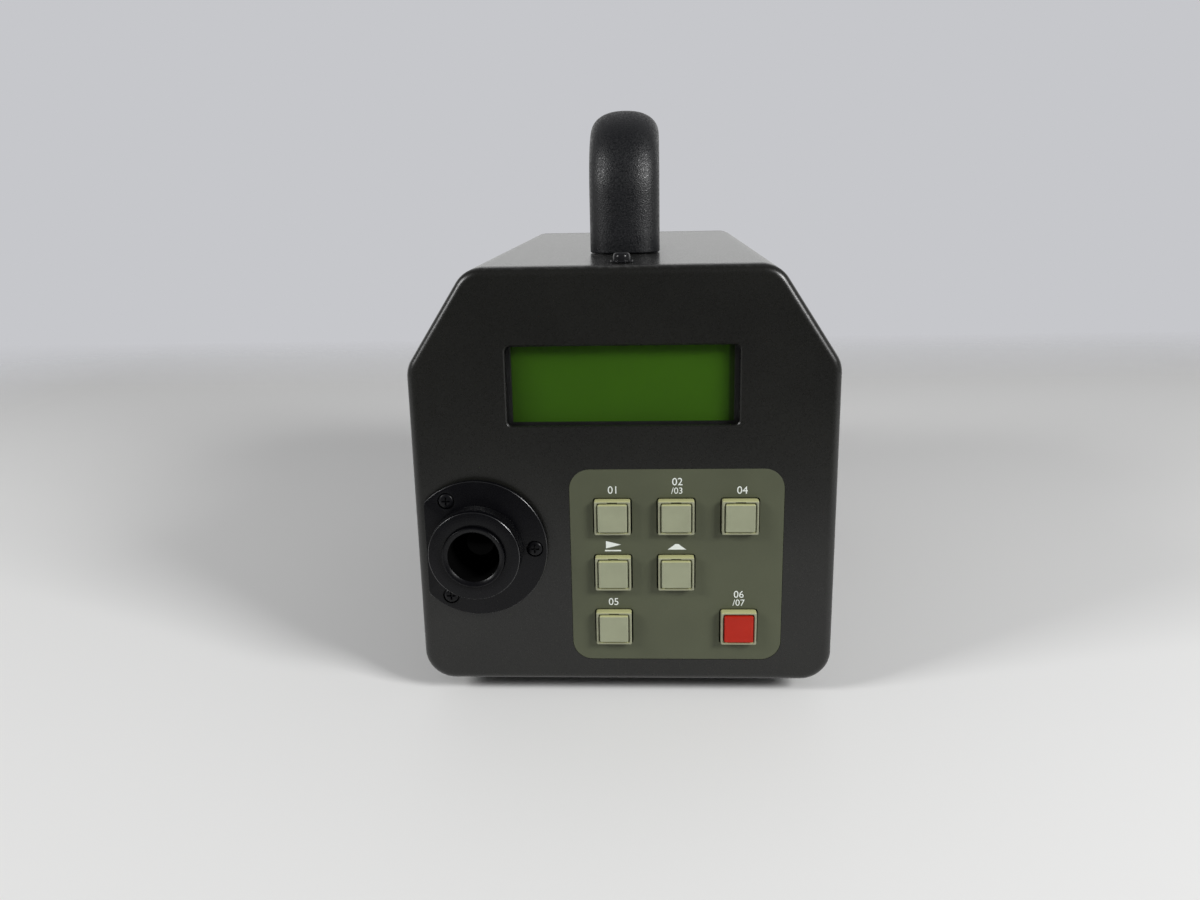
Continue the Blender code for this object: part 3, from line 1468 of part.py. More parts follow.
def make_bench():
    """The cast bench on the base plate: posts for both mirrors and saddles for the finder tube."""
    half = HALF_WIDTH - BENCH_SIDE_MARGIN
    start = LIP_END + BENCH_END_MARGIN
    end = BODY_LENGTH - start
    bench = extruded(
        "optical_bench",
        rounded_rectangle(2 * half, end - start, BENCH_CORNER, (0, (start + end) / 2), 2),
        BENCH_BOTTOM,
        BENCH_TOP,
        LOOKS["cast"],
        axis="Z",
    )
    root = (BENCH_BOTTOM + BENCH_TOP) / 2 - AXIS_HEIGHT
    post = (
        (-MIRROR_POST_WIDTH / 2, -MIRROR_POST_BACK, root),
        (MIRROR_POST_WIDTH / 2, -MIRROR_THICKNESS - SEAT_GAP, MIRROR_POST_ABOVE_AXIS),
    )
    for label, x, heading in MIRRORS:
        spot = (x, MIRROR_DEPTH, AXIS_HEIGHT)
        weld(bench, blocks(f"{label}_post", [post], place=spot, spin_z=heading))
    saddle_half = FINDER_TUBE_RADIUS + SADDLE_SIDE
    saddle_bottom = (BENCH_BOTTOM + BENCH_TOP) / 2
    saddles = []
    first = start + SADDLE_INSET
    last = FINDER_TUBE_END - SADDLE_INSET
    for y in (first, last):
        low = (EYEPIECE_X - saddle_half, y, saddle_bottom)
        saddles.append((low, (EYEPIECE_X + saddle_half, y + SADDLE_LENGTH, AXIS_HEIGHT)))
    weld(bench, blocks("finder_saddles", saddles))
    cut(
        bench,
        pegs(
            "saddle_grooves",
            [(EYEPIECE_X, AXIS_HEIGHT)],
            FINDER_TUBE_RADIUS + SEAT_GAP,
            first - OVERRUN,
            last + SADDLE_LENGTH + OVERRUN,
            steps=INNER_ROUND_STEPS,
        ),
        pegs(
            "light_port",
            [(0, AXIS_HEIGHT)],
            LIGHT_PORT_RADIUS,
            MIRROR_DEPTH - MIRROR_POST_WIDTH,
            MIRROR_DEPTH + MIRROR_POST_WIDTH,
        ),
    )


def make_mirrors():
    """The pierced mirror that takes the finder's light off the axis, and the one that folds it back."""
    for label, x, heading in MIRRORS:
        mirror = turned(
            label,
            [
                (0, 0),
                (MIRROR_RADIUS, 0),
                (MIRROR_RADIUS, -MIRROR_THICKNESS),
                (0, -MIRROR_THICKNESS),
            ],
            LOOKS["mirror"],
            place=(x, MIRROR_DEPTH, AXIS_HEIGHT),
            steps=INNER_ROUND_STEPS,
            spin_z=heading,
        )
        if label == "aperture_mirror":
            hole = pegs("pinhole", [(x, AXIS_HEIGHT)], MIRROR_PINHOLE, 0, BODY_LENGTH)
            cut(mirror, hole)


def make_finder_tube():
    """The finder's relay tube, open towards the eyepiece, with a lens cemented into its far end."""
    start = FLANGE_TUBE_DEPTH + SEAT_GAP
    inner = FINDER_TUBE_RADIUS - FINDER_TUBE_WALL
    turned(
        "finder_tube",
        [
            (inner, start),
            (FINDER_TUBE_RADIUS, start),
            (FINDER_TUBE_RADIUS, FINDER_TUBE_END),
            (0, FINDER_TUBE_END),
            (0, FINDER_TUBE_END - FINDER_LENS_THICKNESS),
            (inner, FINDER_TUBE_END - FINDER_LENS_THICKNESS),
        ],
        LOOKS["black"],
        place=(EYEPIECE_X, 0, AXIS_HEIGHT),
        steps=INNER_ROUND_STEPS,
    )


def make_spectrograph():
    """Box with its entrance slit, lid with board posts, concave grating on its block, and line sensor."""
    centre_x = BOX_LEFT + BOX_WIDTH / 2
    centre_y = (BOX_FRONT + BOX_BACK) / 2
    outer = rounded_rectangle(BOX_WIDTH, BOX_LENGTH, BOX_CORNER, (centre_x, centre_y), 2)
    box = extruded("spectrograph_box", outer, BOX_BOTTOM, BOX_TOP, LOOKS["cast"], axis="Z")
    inside_low = (BOX_LEFT + BOX_WALL, BOX_FRONT + BOX_WALL, BOX_BOTTOM + BOX_WALL)
    inside_high = (BOX_LEFT + BOX_WIDTH - BOX_WALL, BOX_BACK - BOX_WALL, BOX_TOP + OVERRUN)
    slit_low = (-SLIT_WIDTH / 2, BOX_BACK - BOX_WALL - OVERRUN, AXIS_HEIGHT - SLIT_HEIGHT / 2)
    slit_high = (SLIT_WIDTH / 2, BOX_BACK + OVERRUN, AXIS_HEIGHT + SLIT_HEIGHT / 2)
    half_sensor = SENSOR_WIDTH / 2 + SEAT_GAP
    sensor_rise = SENSOR_HEIGHT / 2 + SEAT_GAP
    sensor_low = (SENSOR_OFFSET - half_sensor, slit_low[1], AXIS_HEIGHT - sensor_rise)
    sensor_high = (SENSOR_OFFSET + half_sensor, slit_high[1], AXIS_HEIGHT + sensor_rise)
    cut(
        box,
        blocks("box_hollow", [(inside_low, inside_high)]),
        blocks("slit_and_sensor_windows", [(slit_low, slit_high), (sensor_low, sensor_high)]),
    )
    lid_bottom = BOX_TOP + SEAT_GAP
    lid_top = lid_bottom + LID_THICKNESS
    lid = extruded("spectrograph_lid", outer, lid_bottom, lid_top, LOOKS["cast"], axis="Z")
    places = corner_places(BOX_WIDTH, BOX_LENGTH, (centre_x, centre_y), LID_POST_INSET)
    post_top = lid_top + LID_POST_HEIGHT
    weld(lid, pegs("lid_posts", places, POST_RADIUS, lid_bottom + SEAT_GAP, post_top, axis="Z"))
    make_grating(box)
    board_front = BOX_BACK + SEAT_GAP
    sensor_centre = (SENSOR_OFFSET, AXIS_HEIGHT)
    board = extruded(
        "sensor_board",
        rectangle(SENSOR_BOARD_WIDTH, SENSOR_BOARD_HEIGHT, sensor_centre),
        board_front,
        board_front + BOARD_THICKNESS,
        LOOKS["board"],
    )
    sensor = extruded(
        "line_sensor",
        rectangle(SENSOR_WIDTH, SENSOR_HEIGHT, sensor_centre),
        BOX_BACK - SENSOR_SINK,
        board_front + BOARD_THICKNESS / 2,
    )
    weld(board, sensor)
    return post_top


def make_grating(box):
    """The concave grating, a dished disc tilted between the slit and the sensor, and the box's block."""
    depth = BOX_FRONT + BOX_WALL + GRATING_BLOCK_SETBACK
    heading = -GRATING_TILT
    hollow = lens_crown(GRATING_RADIUS, -GRATING_SAG, GRATING_SAG)
    turned(
        "concave_grating",
        hollow + [(GRATING_RADIUS, -GRATING_THICKNESS), (0, -GRATING_THICKNESS)],
        LOOKS["mirror"],
        place=(0, depth + GRATING_THICKNESS, AXIS_HEIGHT),
        steps=INNER_ROUND_STEPS,
        spin_z=heading,
    )
    low = (
        -GRATING_BLOCK_WIDTH / 2,
        -GRATING_THICKNESS - SEAT_GAP - GRATING_BLOCK_THICKNESS,
        BOX_BOTTOM + BOX_WALL / 2 - AXIS_HEIGHT,
    )
    high = (GRATING_BLOCK_WIDTH / 2, -GRATING_THICKNESS - SEAT_GAP, GRATING_RADIUS)
    block = blocks(
        "grating_block",
        [(low, high)],
        place=(0, depth + GRATING_THICKNESS, AXIS_HEIGHT),
        spin_z=heading,
    )
    weld(box, block)


def make_filter_turret():
    """The turret of filters in front of the slit, and the small motor that carries it."""
    axis_x = -WHEEL_HOLE_CIRCLE
    place = (axis_x, WHEEL_DEPTH, AXIS_HEIGHT)
    motor_front = BOX_BACK + SEAT_GAP - WHEEL_DEPTH
    motor_back = -RUNNING_GAP - MOTOR_STEP
    shaft_end = motor_back - WHEEL_SHAFT_LENGTH
    wheel = turned(
        "filter_wheel",
        [
            (0, WHEEL_THICKNESS + MOTOR_STEP),
            (WHEEL_HUB_RADIUS, WHEEL_THICKNESS + MOTOR_STEP),
            (WHEEL_HUB_RADIUS, WHEEL_THICKNESS),
            (WHEEL_RADIUS, WHEEL_THICKNESS),
            (WHEEL_RADIUS, 0),
            (WHEEL_HUB_RADIUS, 0),
            (WHEEL_HUB_RADIUS, motor_back + RUNNING_GAP),
            (WHEEL_SHAFT_RADIUS, motor_back + RUNNING_GAP),
            (WHEEL_SHAFT_RADIUS, shaft_end),
            (0, shaft_end),
        ],
        LOOKS["black"],
        place=place,
        steps=INNER_ROUND_STEPS,
    )
    centres = []
    for i in range(WHEEL_HOLES):
        angle = FULL_TURN * i / WHEEL_HOLES
        x = axis_x + WHEEL_HOLE_CIRCLE * math.cos(angle)
        centres.append((x, AXIS_HEIGHT + WHEEL_HOLE_CIRCLE * math.sin(angle)))
    back = WHEEL_DEPTH + WHEEL_THICKNESS
    open_hole = pegs(
        "open_filter_hole",
        centres[:1],
        WHEEL_HOLE_RADIUS,
        WHEEL_DEPTH - OVERRUN,
        back + OVERRUN,
    )
    front_pockets = pegs(
        "filter_pockets_front",
        centres[1:],
        WHEEL_HOLE_RADIUS,
        WHEEL_DEPTH - OVERRUN,
        WHEEL_DEPTH + FILTER_POCKET_DEPTH,
    )
    back_pockets = pegs(
        "filter_pockets_back",
        centres[1:],
        WHEEL_HOLE_RADIUS,
        back - FILTER_POCKET_DEPTH,
        back + OVERRUN,
    )
    cut(wheel, open_hole, front_pockets, back_pockets)
    bore = WHEEL_SHAFT_RADIUS + RUNNING_GAP
    bore_end = shaft_end - RUNNING_GAP
    turned(
        "wheel_motor",
        [
            (bore, bore_end),
            (bore, motor_back),
            (MOTOR_RADIUS, motor_back),
            (MOTOR_RADIUS, motor_front),
            (0, motor_front),
            (0, bore_end),
        ],
        LOOKS["steel"],
        place=place,
        steps=INNER_ROUND_STEPS,
    )


def make_main_board(post_top):
    """The main circuit board on the lid's posts, with its packages and two supply capacitors."""
    bottom = post_top + SEAT_GAP
    top = bottom + BOARD_THICKNESS
    left = BOX_LEFT + (BOX_WIDTH - MAIN_BOARD_WIDTH) / 2
    front = (BOX_FRONT + BOX_BACK - MAIN_BOARD_LENGTH) / 2
    board = blocks(
        "main_board",
        [((left, front, bottom), (left + MAIN_BOARD_WIDTH, front + MAIN_BOARD_LENGTH, top))],
        LOOKS["board"],
    )
    packages = []
    for x0, y0, x1, y1 in MAIN_BOARD_PART_SHARES:
        low = (left + MAIN_BOARD_WIDTH * x0, front + MAIN_BOARD_LENGTH * y0, bottom + SEAT_GAP)
        high = (
            left + MAIN_BOARD_WIDTH * x1,
            front + MAIN_BOARD_LENGTH * y1,
            top + MAIN_BOARD_PART_HEIGHT,
        )
        packages.append((low, high))
    cans = [
        (left + MAIN_BOARD_WIDTH * x, front + MAIN_BOARD_LENGTH * y) for x, y in SUPPLY_CAN_SHARES
    ]
    weld(
        board,
        blocks("board_packages", packages),
        pegs(
            "supply_cans",
            cans,
            SUPPLY_CAN_RADIUS,
            bottom + SEAT_GAP,
            top + SUPPLY_CAN_HEIGHT,
            axis="Z",
        ),
    )


def make_connector_bay():
    """The pan set into the cover's right side, with openings for the three fittings in its floor."""
    length = BAY_LENGTH + 2 * BAY_FLANGE
    height = BAY_HEIGHT + 2 * BAY_FLANGE
    centre = (BAY_CENTRE_Y, BAY_CENTRE_Z)
    floor_back = BAY_FLOOR_X - BAY_SHEET
    flange = extruded(
        "connector_bay",
        rounded_rectangle(length, height, BAY_CORNER + BAY_FLANGE, centre),
        BAY_FLANGE_X - BAY_SHEET,
        BAY_FLANGE_X,
        LOOKS["panel"],
        axis="X",
    )
    walls = extruded(
        "bay_walls",
        rounded_rectangle(
            BAY_LENGTH + 2 * BAY_SHEET, BAY_HEIGHT + 2 * BAY_SHEET, BAY_CORNER + BAY_SHEET, centre
        ),
        floor_back,
        BAY_FLANGE_X - BAY_SHEET / 2,
        axis="X",
    )
    hollow = extruded(
        "bay_hollow",
        rounded_rectangle(BAY_LENGTH, BAY_HEIGHT, BAY_CORNER, centre),
        BAY_FLOOR_X,
        HALF_WIDTH + OVERRUN,
        axis="X",
    )
    weld(flange, walls)
    serial_y = BAY_START_Y + SERIAL_FROM_BAY_END
    jack_y = BAY_START_Y + JACK_FROM_BAY_END
    switch_y = BAY_START_Y + SWITCH_FROM_BAY_END
    through = (floor_back - OVERRUN, BAY_FLOOR_X + OVERRUN)
    half_shell = SERIAL_SHELL_LENGTH / 2 + SEAT_GAP
    shell_rise = SERIAL_SHELL_HEIGHT / 2 + SEAT_GAP
    half_switch = SWITCH_LENGTH / 2 - SWITCH_FRAME + SEAT_GAP
    switch_rise = SWITCH_HEIGHT / 2 - SWITCH_FRAME + SEAT_GAP
    boxes = []
    for y, half_y, half_z in (
        (serial_y, half_shell, shell_rise),
        (switch_y, half_switch, switch_rise),
    ):
        low = (through[0], y - half_y, BAY_CENTRE_Z - half_z)
        boxes.append((low, (through[1], y + half_y, BAY_CENTRE_Z + half_z)))
    jack_hole = pegs(
        "jack_hole",
        [(jack_y, BAY_CENTRE_Z)],
        JACK_RADIUS + SEAT_GAP,
        *through,
        axis="X",
    )
    cut(flange, hollow, blocks("fitting_holes", boxes), jack_hole)
    make_serial_connector(serial_y)
    make_power_jack(jack_y)
    make_power_switch(switch_y)


def d_outline(length, height, corner):
    """A D-shaped outline, its upper side longer than its lower one."""
    slant = length * SERIAL_SHELL_SLANT_SHARE
    half, rise = length / 2, height / 2
    corners = [
        Vector((-half + slant, -rise)),
        Vector((half - slant, -rise)),
        Vector((half, rise)),
        Vector((-half, rise)),
    ]
    return filleted(corners, [corner] * 4, 3)


def make_serial_connector(y):
    """A nine-way connector: flange, D-shaped shell, insert with its contact holes, two jack posts."""
    place = (BAY_FLOOR_X + SEAT_GAP, y, BAY_CENTRE_Z)
    flange_top = SERIAL_FLANGE_THICKNESS
    connector = extruded(
        "serial_connector",
        rounded_rectangle(
            SERIAL_FLANGE_LENGTH, SERIAL_FLANGE_HEIGHT, SERIAL_SHELL_CORNER, steps=2
        ),
        0,
        flange_top,
        LOOKS["steel"],
        axis="X",
        place=place,
    )
    insert_top = flange_top + SERIAL_SHELL_REACH - SERIAL_INSERT_SETBACK
    wall = SERIAL_SHELL_WALL
    shell = extruded(
        "serial_shell",
        d_outline(SERIAL_SHELL_LENGTH, SERIAL_SHELL_HEIGHT, SERIAL_SHELL_CORNER),
        -SERIAL_BODY_DEPTH,
        flange_top + SERIAL_SHELL_REACH,
        axis="X",
        place=place,
    )
    moat = extruded(
        "serial_mouth",
        d_outline(
            SERIAL_SHELL_LENGTH - 2 * wall, SERIAL_SHELL_HEIGHT - 2 * wall, SERIAL_SHELL_CORNER - wall
        ),
        insert_top,
        flange_top + SERIAL_SHELL_REACH + OVERRUN,
        axis="X",
        place=place,
    )
    pins = []
    for count, row in ((5, 1), (4, -1)):
        for i in range(count):
            pin_y = y + (i - (count - 1) / 2) * SERIAL_PIN_PITCH
            pins.append((pin_y, BAY_CENTRE_Z + row * SERIAL_PIN_ROW_GAP / 2))
    base_x = BAY_FLOOR_X + SEAT_GAP
    holes = pegs(
        "serial_contacts",
        pins,
        SERIAL_PIN_RADIUS,
        base_x + insert_top - SERIAL_PIN_DEPTH,
        base_x + insert_top + OVERRUN,
        axis="X",
        steps=CONTACT_STEPS,
    )
    post_places = [(y + side * JACKPOST_SPACING / 2, BAY_CENTRE_Z) for side in (-1, 1)]
    posts = pegs(
        "jack_posts",
        post_places,
        JACKPOST_RADIUS,
        base_x + flange_top / 2,
        base_x + JACKPOST_REACH,
        axis="X",
        steps=CONTACT_STEPS,
    )
    weld(connector, shell, posts)
    cut(connector, moat, holes)


def make_power_jack(y):
    """The round supply inlet with its centre pin."""
    floor = JACK_COLLAR_THICKNESS - JACK_BORE_DEPTH
    turned(
        "power_jack",
        [
            (0, -JACK_BODY_DEPTH),
            (JACK_RADIUS, -JACK_BODY_DEPTH),
            (JACK_RADIUS, 0),
            (JACK_COLLAR_RADIUS, 0),
            (JACK_COLLAR_RADIUS, JACK_COLLAR_THICKNESS),
            (JACK_BORE, JACK_COLLAR_THICKNESS),
            (JACK_BORE, floor),
            (JACK_PIN_RADIUS, floor),
            (JACK_PIN_RADIUS, 0),
            (0, 0),
        ],
        LOOKS["black"],
        axis="X",
        place=(BAY_FLOOR_X + SEAT_GAP, y, BAY_CENTRE_Z),
        steps=SMALL_ROUND_STEPS,
    )


def make_power_switch(y):
    """The switch frame in the bay's floor and the rocker that tilts in it."""
    place = (BAY_FLOOR_X + SEAT_GAP, y, BAY_CENTRE_Z)
    frame = extruded(
        "switch_frame",
        rectangle(SWITCH_LENGTH, SWITCH_HEIGHT),
        0,
        SWITCH_FRAME_THICKNESS,
        LOOKS["black"],
        axis="X",
        place=place,
    )
    body_length = SWITCH_LENGTH - 2 * SWITCH_FRAME
    body_height = SWITCH_HEIGHT - 2 * SWITCH_FRAME
    body = extruded(
        "switch_body",
        rectangle(body_length, body_height),
        -SWITCH_BODY_DEPTH,
        SWITCH_FRAME_THICKNESS / 2,
        axis="X",
        place=place,
    )
    well_length = body_length - 2 * SWITCH_FRAME
    well_height = body_height - 2 * SWITCH_FRAME
    well = extruded(
        "switch_well",
        rectangle(well_length, well_height),
        -2 * ROCKER_ROOT_DEPTH - ROCKER_PIVOT_DEPTH,
        SWITCH_FRAME_THICKNESS + OVERRUN,
        axis="X",
        place=place,
    )
    weld(frame, body)
    cut(frame, well)
    pivot = (place[0] - ROCKER_PIVOT_DEPTH, y, BAY_CENTRE_Z)
    half_length = well_length / 2 - RUNNING_GAP
    profile = rocker_profile(well_height / 2 - RUNNING_GAP)
    extruded(
        "power_rocker", profile, -half_length, half_length, LOOKS["black"], axis="Y", place=pivot
    )


def rocker_profile(reach):
    """The rocker's side view about its pivot: a shallow valley outside, a narrower root inside.

    It is drawn upright and then turned to its off position. Its ends stay within reach of the pivot
    at either position.
    """
    edge = ROCKER_VALLEY + ROCKER_RISE
    half = (reach - edge * math.sin(ROCKER_TILT)) / math.cos(ROCKER_TILT)
    upright = [
        (-ROCKER_ROOT_DEPTH, -half / 2),
        (0, -half),
        (edge, -half),
        (ROCKER_VALLEY, 0),
        (edge, half),
        (0, half),
        (-ROCKER_ROOT_DEPTH, half / 2),
    ]
    turn = Matrix.Rotation(ROCKER_TILT, 2)
    return [turn @ Vector(point) for point in upright]


clear_scene()
LOOKS = make_looks()
FRAME = set_frame()
make_front_panel()
make_rear_panel()
make_cover()
make_base()
make_feet()
make_cover_screws()
make_handle()
make_display()
make_keypad()
make_eyepiece()
make_objective()
make_bench()
make_mirrors()
make_finder_tube()
make_main_board(make_spectrograph())
make_filter_turret()
make_connector_bay()
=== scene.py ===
"""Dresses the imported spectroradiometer: fine surfaces, finishes, light and camera.

Lengths are in metres. The front panel's face is at face_y and the body's lower edge at lower_edge_z;
a depth is measured inwards from that face and a height upwards from that edge.
"""

import math

import bmesh
import bpy
import numpy as np
from mathutils import Matrix, Vector


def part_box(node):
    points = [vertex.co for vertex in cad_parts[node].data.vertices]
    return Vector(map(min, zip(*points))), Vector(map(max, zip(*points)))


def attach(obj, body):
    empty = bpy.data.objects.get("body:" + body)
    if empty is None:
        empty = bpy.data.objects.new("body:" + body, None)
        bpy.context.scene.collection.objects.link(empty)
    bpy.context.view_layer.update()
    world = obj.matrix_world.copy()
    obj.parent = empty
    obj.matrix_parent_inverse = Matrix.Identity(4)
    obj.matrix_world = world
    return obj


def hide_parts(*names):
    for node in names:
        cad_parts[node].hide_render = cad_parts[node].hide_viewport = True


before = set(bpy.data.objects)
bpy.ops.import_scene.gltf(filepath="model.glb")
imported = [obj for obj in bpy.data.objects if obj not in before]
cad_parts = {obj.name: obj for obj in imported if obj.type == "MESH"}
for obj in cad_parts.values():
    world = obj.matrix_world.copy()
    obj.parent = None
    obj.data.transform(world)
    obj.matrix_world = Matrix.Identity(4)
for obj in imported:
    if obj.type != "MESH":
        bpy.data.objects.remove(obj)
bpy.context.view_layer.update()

# Camera. It stands where the photograph was taken from: above the body, a little to the right of its
# middle, and tilted down at the operator's panel.
panel_low, panel_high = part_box("front_panel")
face_y = panel_low.y
lower_edge_z = panel_low.z
camera_offset = (0.010016, -0.341768, 0.179512)
camera_yaw = math.radians(3.029)
camera_pitch = math.radians(-14.874)
camera_roll = math.radians(1.136)
frame_width = 1200
focal_length = 1013.27

camera_data = bpy.data.cameras.new("camera")
camera_data.sensor_width = 36.0
camera_data.lens = camera_data.sensor_width * focal_length / frame_width
camera_data.clip_start = 0.01
camera = bpy.data.objects.new("camera", camera_data)
bpy.context.scene.collection.objects.link(camera)
level = Matrix.Rotation(math.pi / 2, 4, "X")
heading = Matrix.Rotation(camera_yaw, 4, "Z") @ Matrix.Rotation(camera_pitch, 4, "X")
heading = heading @ Matrix.Rotation(camera_roll, 4, "Y")
standpoint = Vector(camera_offset) + Vector((0, face_y, lower_edge_z))
camera.matrix_world = Matrix.Translation(standpoint) @ heading @ level
bpy.context.scene.camera = camera
bpy.context.scene.view_settings.view_transform = "Standard"

# Floor and light. A pale bench that fades into a pale room. The room is dim behind the operator and
# high up, with pale walls at the sides and back, and two soft lamps stand at the left and the right.
room_colour = (0.565, 0.571, 0.597)
walls_front_colour = (0.09, 0.09, 0.092)
walls_side_colour = (0.25, 0.25, 0.25)
walls_back_colour = (0.85, 0.855, 0.85)
walls_front_turn = (-1.0, -0.5)
walls_back_turn = (0.1, 0.7)
upper_front_colour = (0.12, 0.12, 0.125)
upper_back_colour = (0.45, 0.45, 0.46)
upper_turn = (0.0, 0.8)
upper_rise = (0.25, 0.42)
floor_colour = (0.822, 0.822, 0.813)
floor_roughness = 0.5
floor_gloss = 0.05
floor_side_fade = (0.55, 0.95)
floor_front_fade = (-0.29, -0.47)
floor_back_fade = (0.46, 0.74)
lamp_size = 0.42
lamp_distance = 1.4
lamp_elevation = math.radians(24.5)
lamps = (("left", math.radians(-58), 10.2), ("right", math.radians(50), 16.0))


def add(owner, kind, inputs=(), **settings):
    """Adds a shader node to a material or world; an input given as a socket is linked, any other set."""
    tree = owner.node_tree
    node = tree.nodes.new("ShaderNode" + kind)
    for key, value in settings.items():
        setattr(node, key, value)
    for key, value in dict(inputs).items():
        if isinstance(value, bpy.types.NodeSocket):
            tree.links.new(value, node.inputs[key])
        else:
            node.inputs[key].default_value = value
    return node


def between(owner, value, low, high, start=0.0, end=1.0):
    """A value read off a straight ramp from start at low to end at high, and level beyond them."""
    ends = {"Value": value, "From Min": low, "From Max": high, "To Min": start, "To Max": end}
    return add(owner, "MapRange", ends).outputs["Result"]


def combined(owner, operation, *values):
    """The result of a mathematical operation on one or two values."""
    return add(owner, "Math", dict(enumerate(values)), operation=operation).outputs[0]


def mixed(owner, share, first, second):
    """The first colour where share is 0 and the second where it is 1."""
    colours = {6: first, 7: second}
    for key, colour in colours.items():
        if not isinstance(colour, bpy.types.NodeSocket):
            colours[key] = (*colour, 1)
    return add(owner, "Mix", {0: share, **colours}, data_type="RGBA").outputs[2]


def faded(owner, value, ends, first, second):
    """The first colour where the value is at the first of its ends, and the second at the other."""
    return mixed(owner, between(owner, value, *ends), first, second)


def place_on(owner):
    """The X, Y and Z of a place on the piece."""
    return add(owner, "SeparateXYZ", {0: add(owner, "TexCoord").outputs["Object"]}).outputs


def shader_of(finish):
    """The shader that a finish ends in."""
    return finish.node_tree.nodes["Principled BSDF"]


def feed(finish, socket, value):
    """Links a value into a socket of the finish's shader."""
    finish.node_tree.links.new(value, shader_of(finish).inputs[socket])


def lamp(name, place, aim, size, watts):
    """A square lamp that faces a point."""
    data = bpy.data.lights.new(name, "AREA")
    data.size = size
    data.energy = watts
    made = bpy.data.objects.new(name, data)
    bpy.context.scene.collection.objects.link(made)
    made.location = place
    made.rotation_euler = (Vector(aim) - Vector(place)).to_track_quat("-Z", "Y").to_euler()


room = bpy.data.worlds.new("room")
room.use_nodes = True
bpy.context.scene.world = room
direction = add(room, "SeparateXYZ", {0: add(room, "TexCoord").outputs["Generated"]}).outputs
seen = add(room, "LightPath").outputs["Is Camera Ray"]
walls = faded(room, direction["Y"], walls_front_turn, walls_front_colour, walls_side_colour)
walls = faded(room, direction["Y"], walls_back_turn, walls, walls_back_colour)
upper = faded(room, direction["Y"], upper_turn, upper_front_colour, upper_back_colour)
lit_colour = faded(room, direction["Z"], upper_rise, walls, upper)
shown_colour = mixed(room, seen, lit_colour, room_colour)
room.node_tree.links.new(shown_colour, room.node_tree.nodes["Background"].inputs["Color"])
floor_left, floor_right = -floor_side_fade[1], floor_side_fade[1]
floor_corners = [(floor_left, floor_front_fade[1], 0), (floor_right, floor_front_fade[1], 0)]
floor_corners += [(floor_right, floor_back_fade[1], 0), (floor_left, floor_back_fade[1], 0)]
floor_mesh = bpy.data.meshes.new("floor")
floor_mesh.from_pydata(floor_corners, [], [(0, 1, 2, 3)])
floor = bpy.data.objects.new("floor", floor_mesh)
bpy.context.scene.collection.objects.link(floor)
bench_top = bpy.data.materials.new("pale_bench_top")
bench_top.use_nodes = True
bench_sockets = shader_of(bench_top).inputs
bench_sockets["Base Color"].default_value = (*floor_colour, 1)
bench_sockets["Roughness"].default_value = floor_roughness
bench_sockets["Specular IOR Level"].default_value = floor_gloss
bench_place = place_on(bench_top)
bench_side = combined(bench_top, "ABSOLUTE", bench_place["X"])
bench_shows = between(bench_top, bench_side, *floor_side_fade, 1.0, 0.0)
for fade in (floor_front_fade, floor_back_fade):
    end_shows = between(bench_top, bench_place["Y"], *fade, 1.0, 0.0)
    bench_shows = combined(bench_top, "MULTIPLY", bench_shows, end_shows)
feed(bench_top, "Alpha", bench_shows)
floor_mesh.materials.append(bench_top)
for side, azimuth, watts in lamps:
    reach = lamp_distance * math.cos(lamp_elevation)
    height = lamp_distance * math.sin(lamp_elevation) + panel_high.z
    spot = (reach * math.sin(azimuth), -reach * math.cos(azimuth), height)
    lamp(f"lamp_{side}", spot, (0, 0, panel_high.z), lamp_size, watts)

# Castings on the base plate. The optical bench, the box of the spectrograph and its lid are castings of
# bare aluminium alloy, screwed down one above the other.
alloy_dark = (0.30, 0.30, 0.305)
alloy_light = (0.44, 0.44, 0.45)
patch_span = (0.35, 0.65)
grain_span = (0.3, 0.7)


def varied_finish(
    name, dark, light, roughness, patch=0.01, grain=0.0003, relief=0.000006, metallic=0.0, **sockets
):
    """A finish that isn't quite even, on Object coordinates.

    Slow noise of size patch runs the colour from dark to light. Fine noise of size grain runs the
    roughness between its two values and raises the surface by up to relief. Any other socket is set
    to its value.
    """
    made = bpy.data.materials.new(name)
    made.use_nodes = True
    place = add(made, "TexCoord").outputs["Object"]
    slow = add(made, "TexNoise", {"Vector": place, "Scale": 1 / patch, "Detail": 4.0}).outputs["Fac"]
    fine = add(made, "TexNoise", {"Vector": place, "Scale": 1 / grain, "Detail": 1.0}).outputs["Fac"]
    feed(made, "Base Color", faded(made, slow, patch_span, dark, light))
    feed(made, "Roughness", between(made, fine, *grain_span, *roughness))
    feed(made, "Normal", add(made, "Bump", {"Height": fine, "Distance": relief}).outputs["Normal"])
    for socket, value in {"Metallic": metallic, **sockets}.items():
        shader_of(made).inputs[socket.replace("_", " ")].default_value = value
    return made


def dress(finish, *nodes):
    """Gives CAD nodes a finish in place of their plain colour."""
    for node in nodes:
        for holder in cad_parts[node].material_slots:
            holder.material = finish


cast_alloy = varied_finish(
    "cast_alloy", alloy_dark, alloy_light, (0.38, 0.58), 0.015, 0.0007, relief=0.00003, metallic=0.9
)
dress(cast_alloy, "optical_bench", "spectrograph_box", "spectrograph_lid")

# Feet. Four moulded rubber feet with a tapered side and a rounded rim. Each is held by a plated
# pan-head screw that sits deep in its recess, clear of the bench.
foot_nodes = ("foot_front_left", "foot_front_right", "foot_rear_left", "foot_rear_right")
foot_taper = 0.88
foot_recess_radius = 0.0036
foot_recess_depth = 0.0034
foot_rim = 0.0009
foot_screw_radius = 0.0027
foot_screw_height = 0.0015
foot_screw_gap = 0.0001
cross_reach = 0.6
cross_half_width = 0.12
cross_depth = 0.6
cross_lead = 0.0004
sharp_angle = math.radians(30)
weld_distance = 1e-7


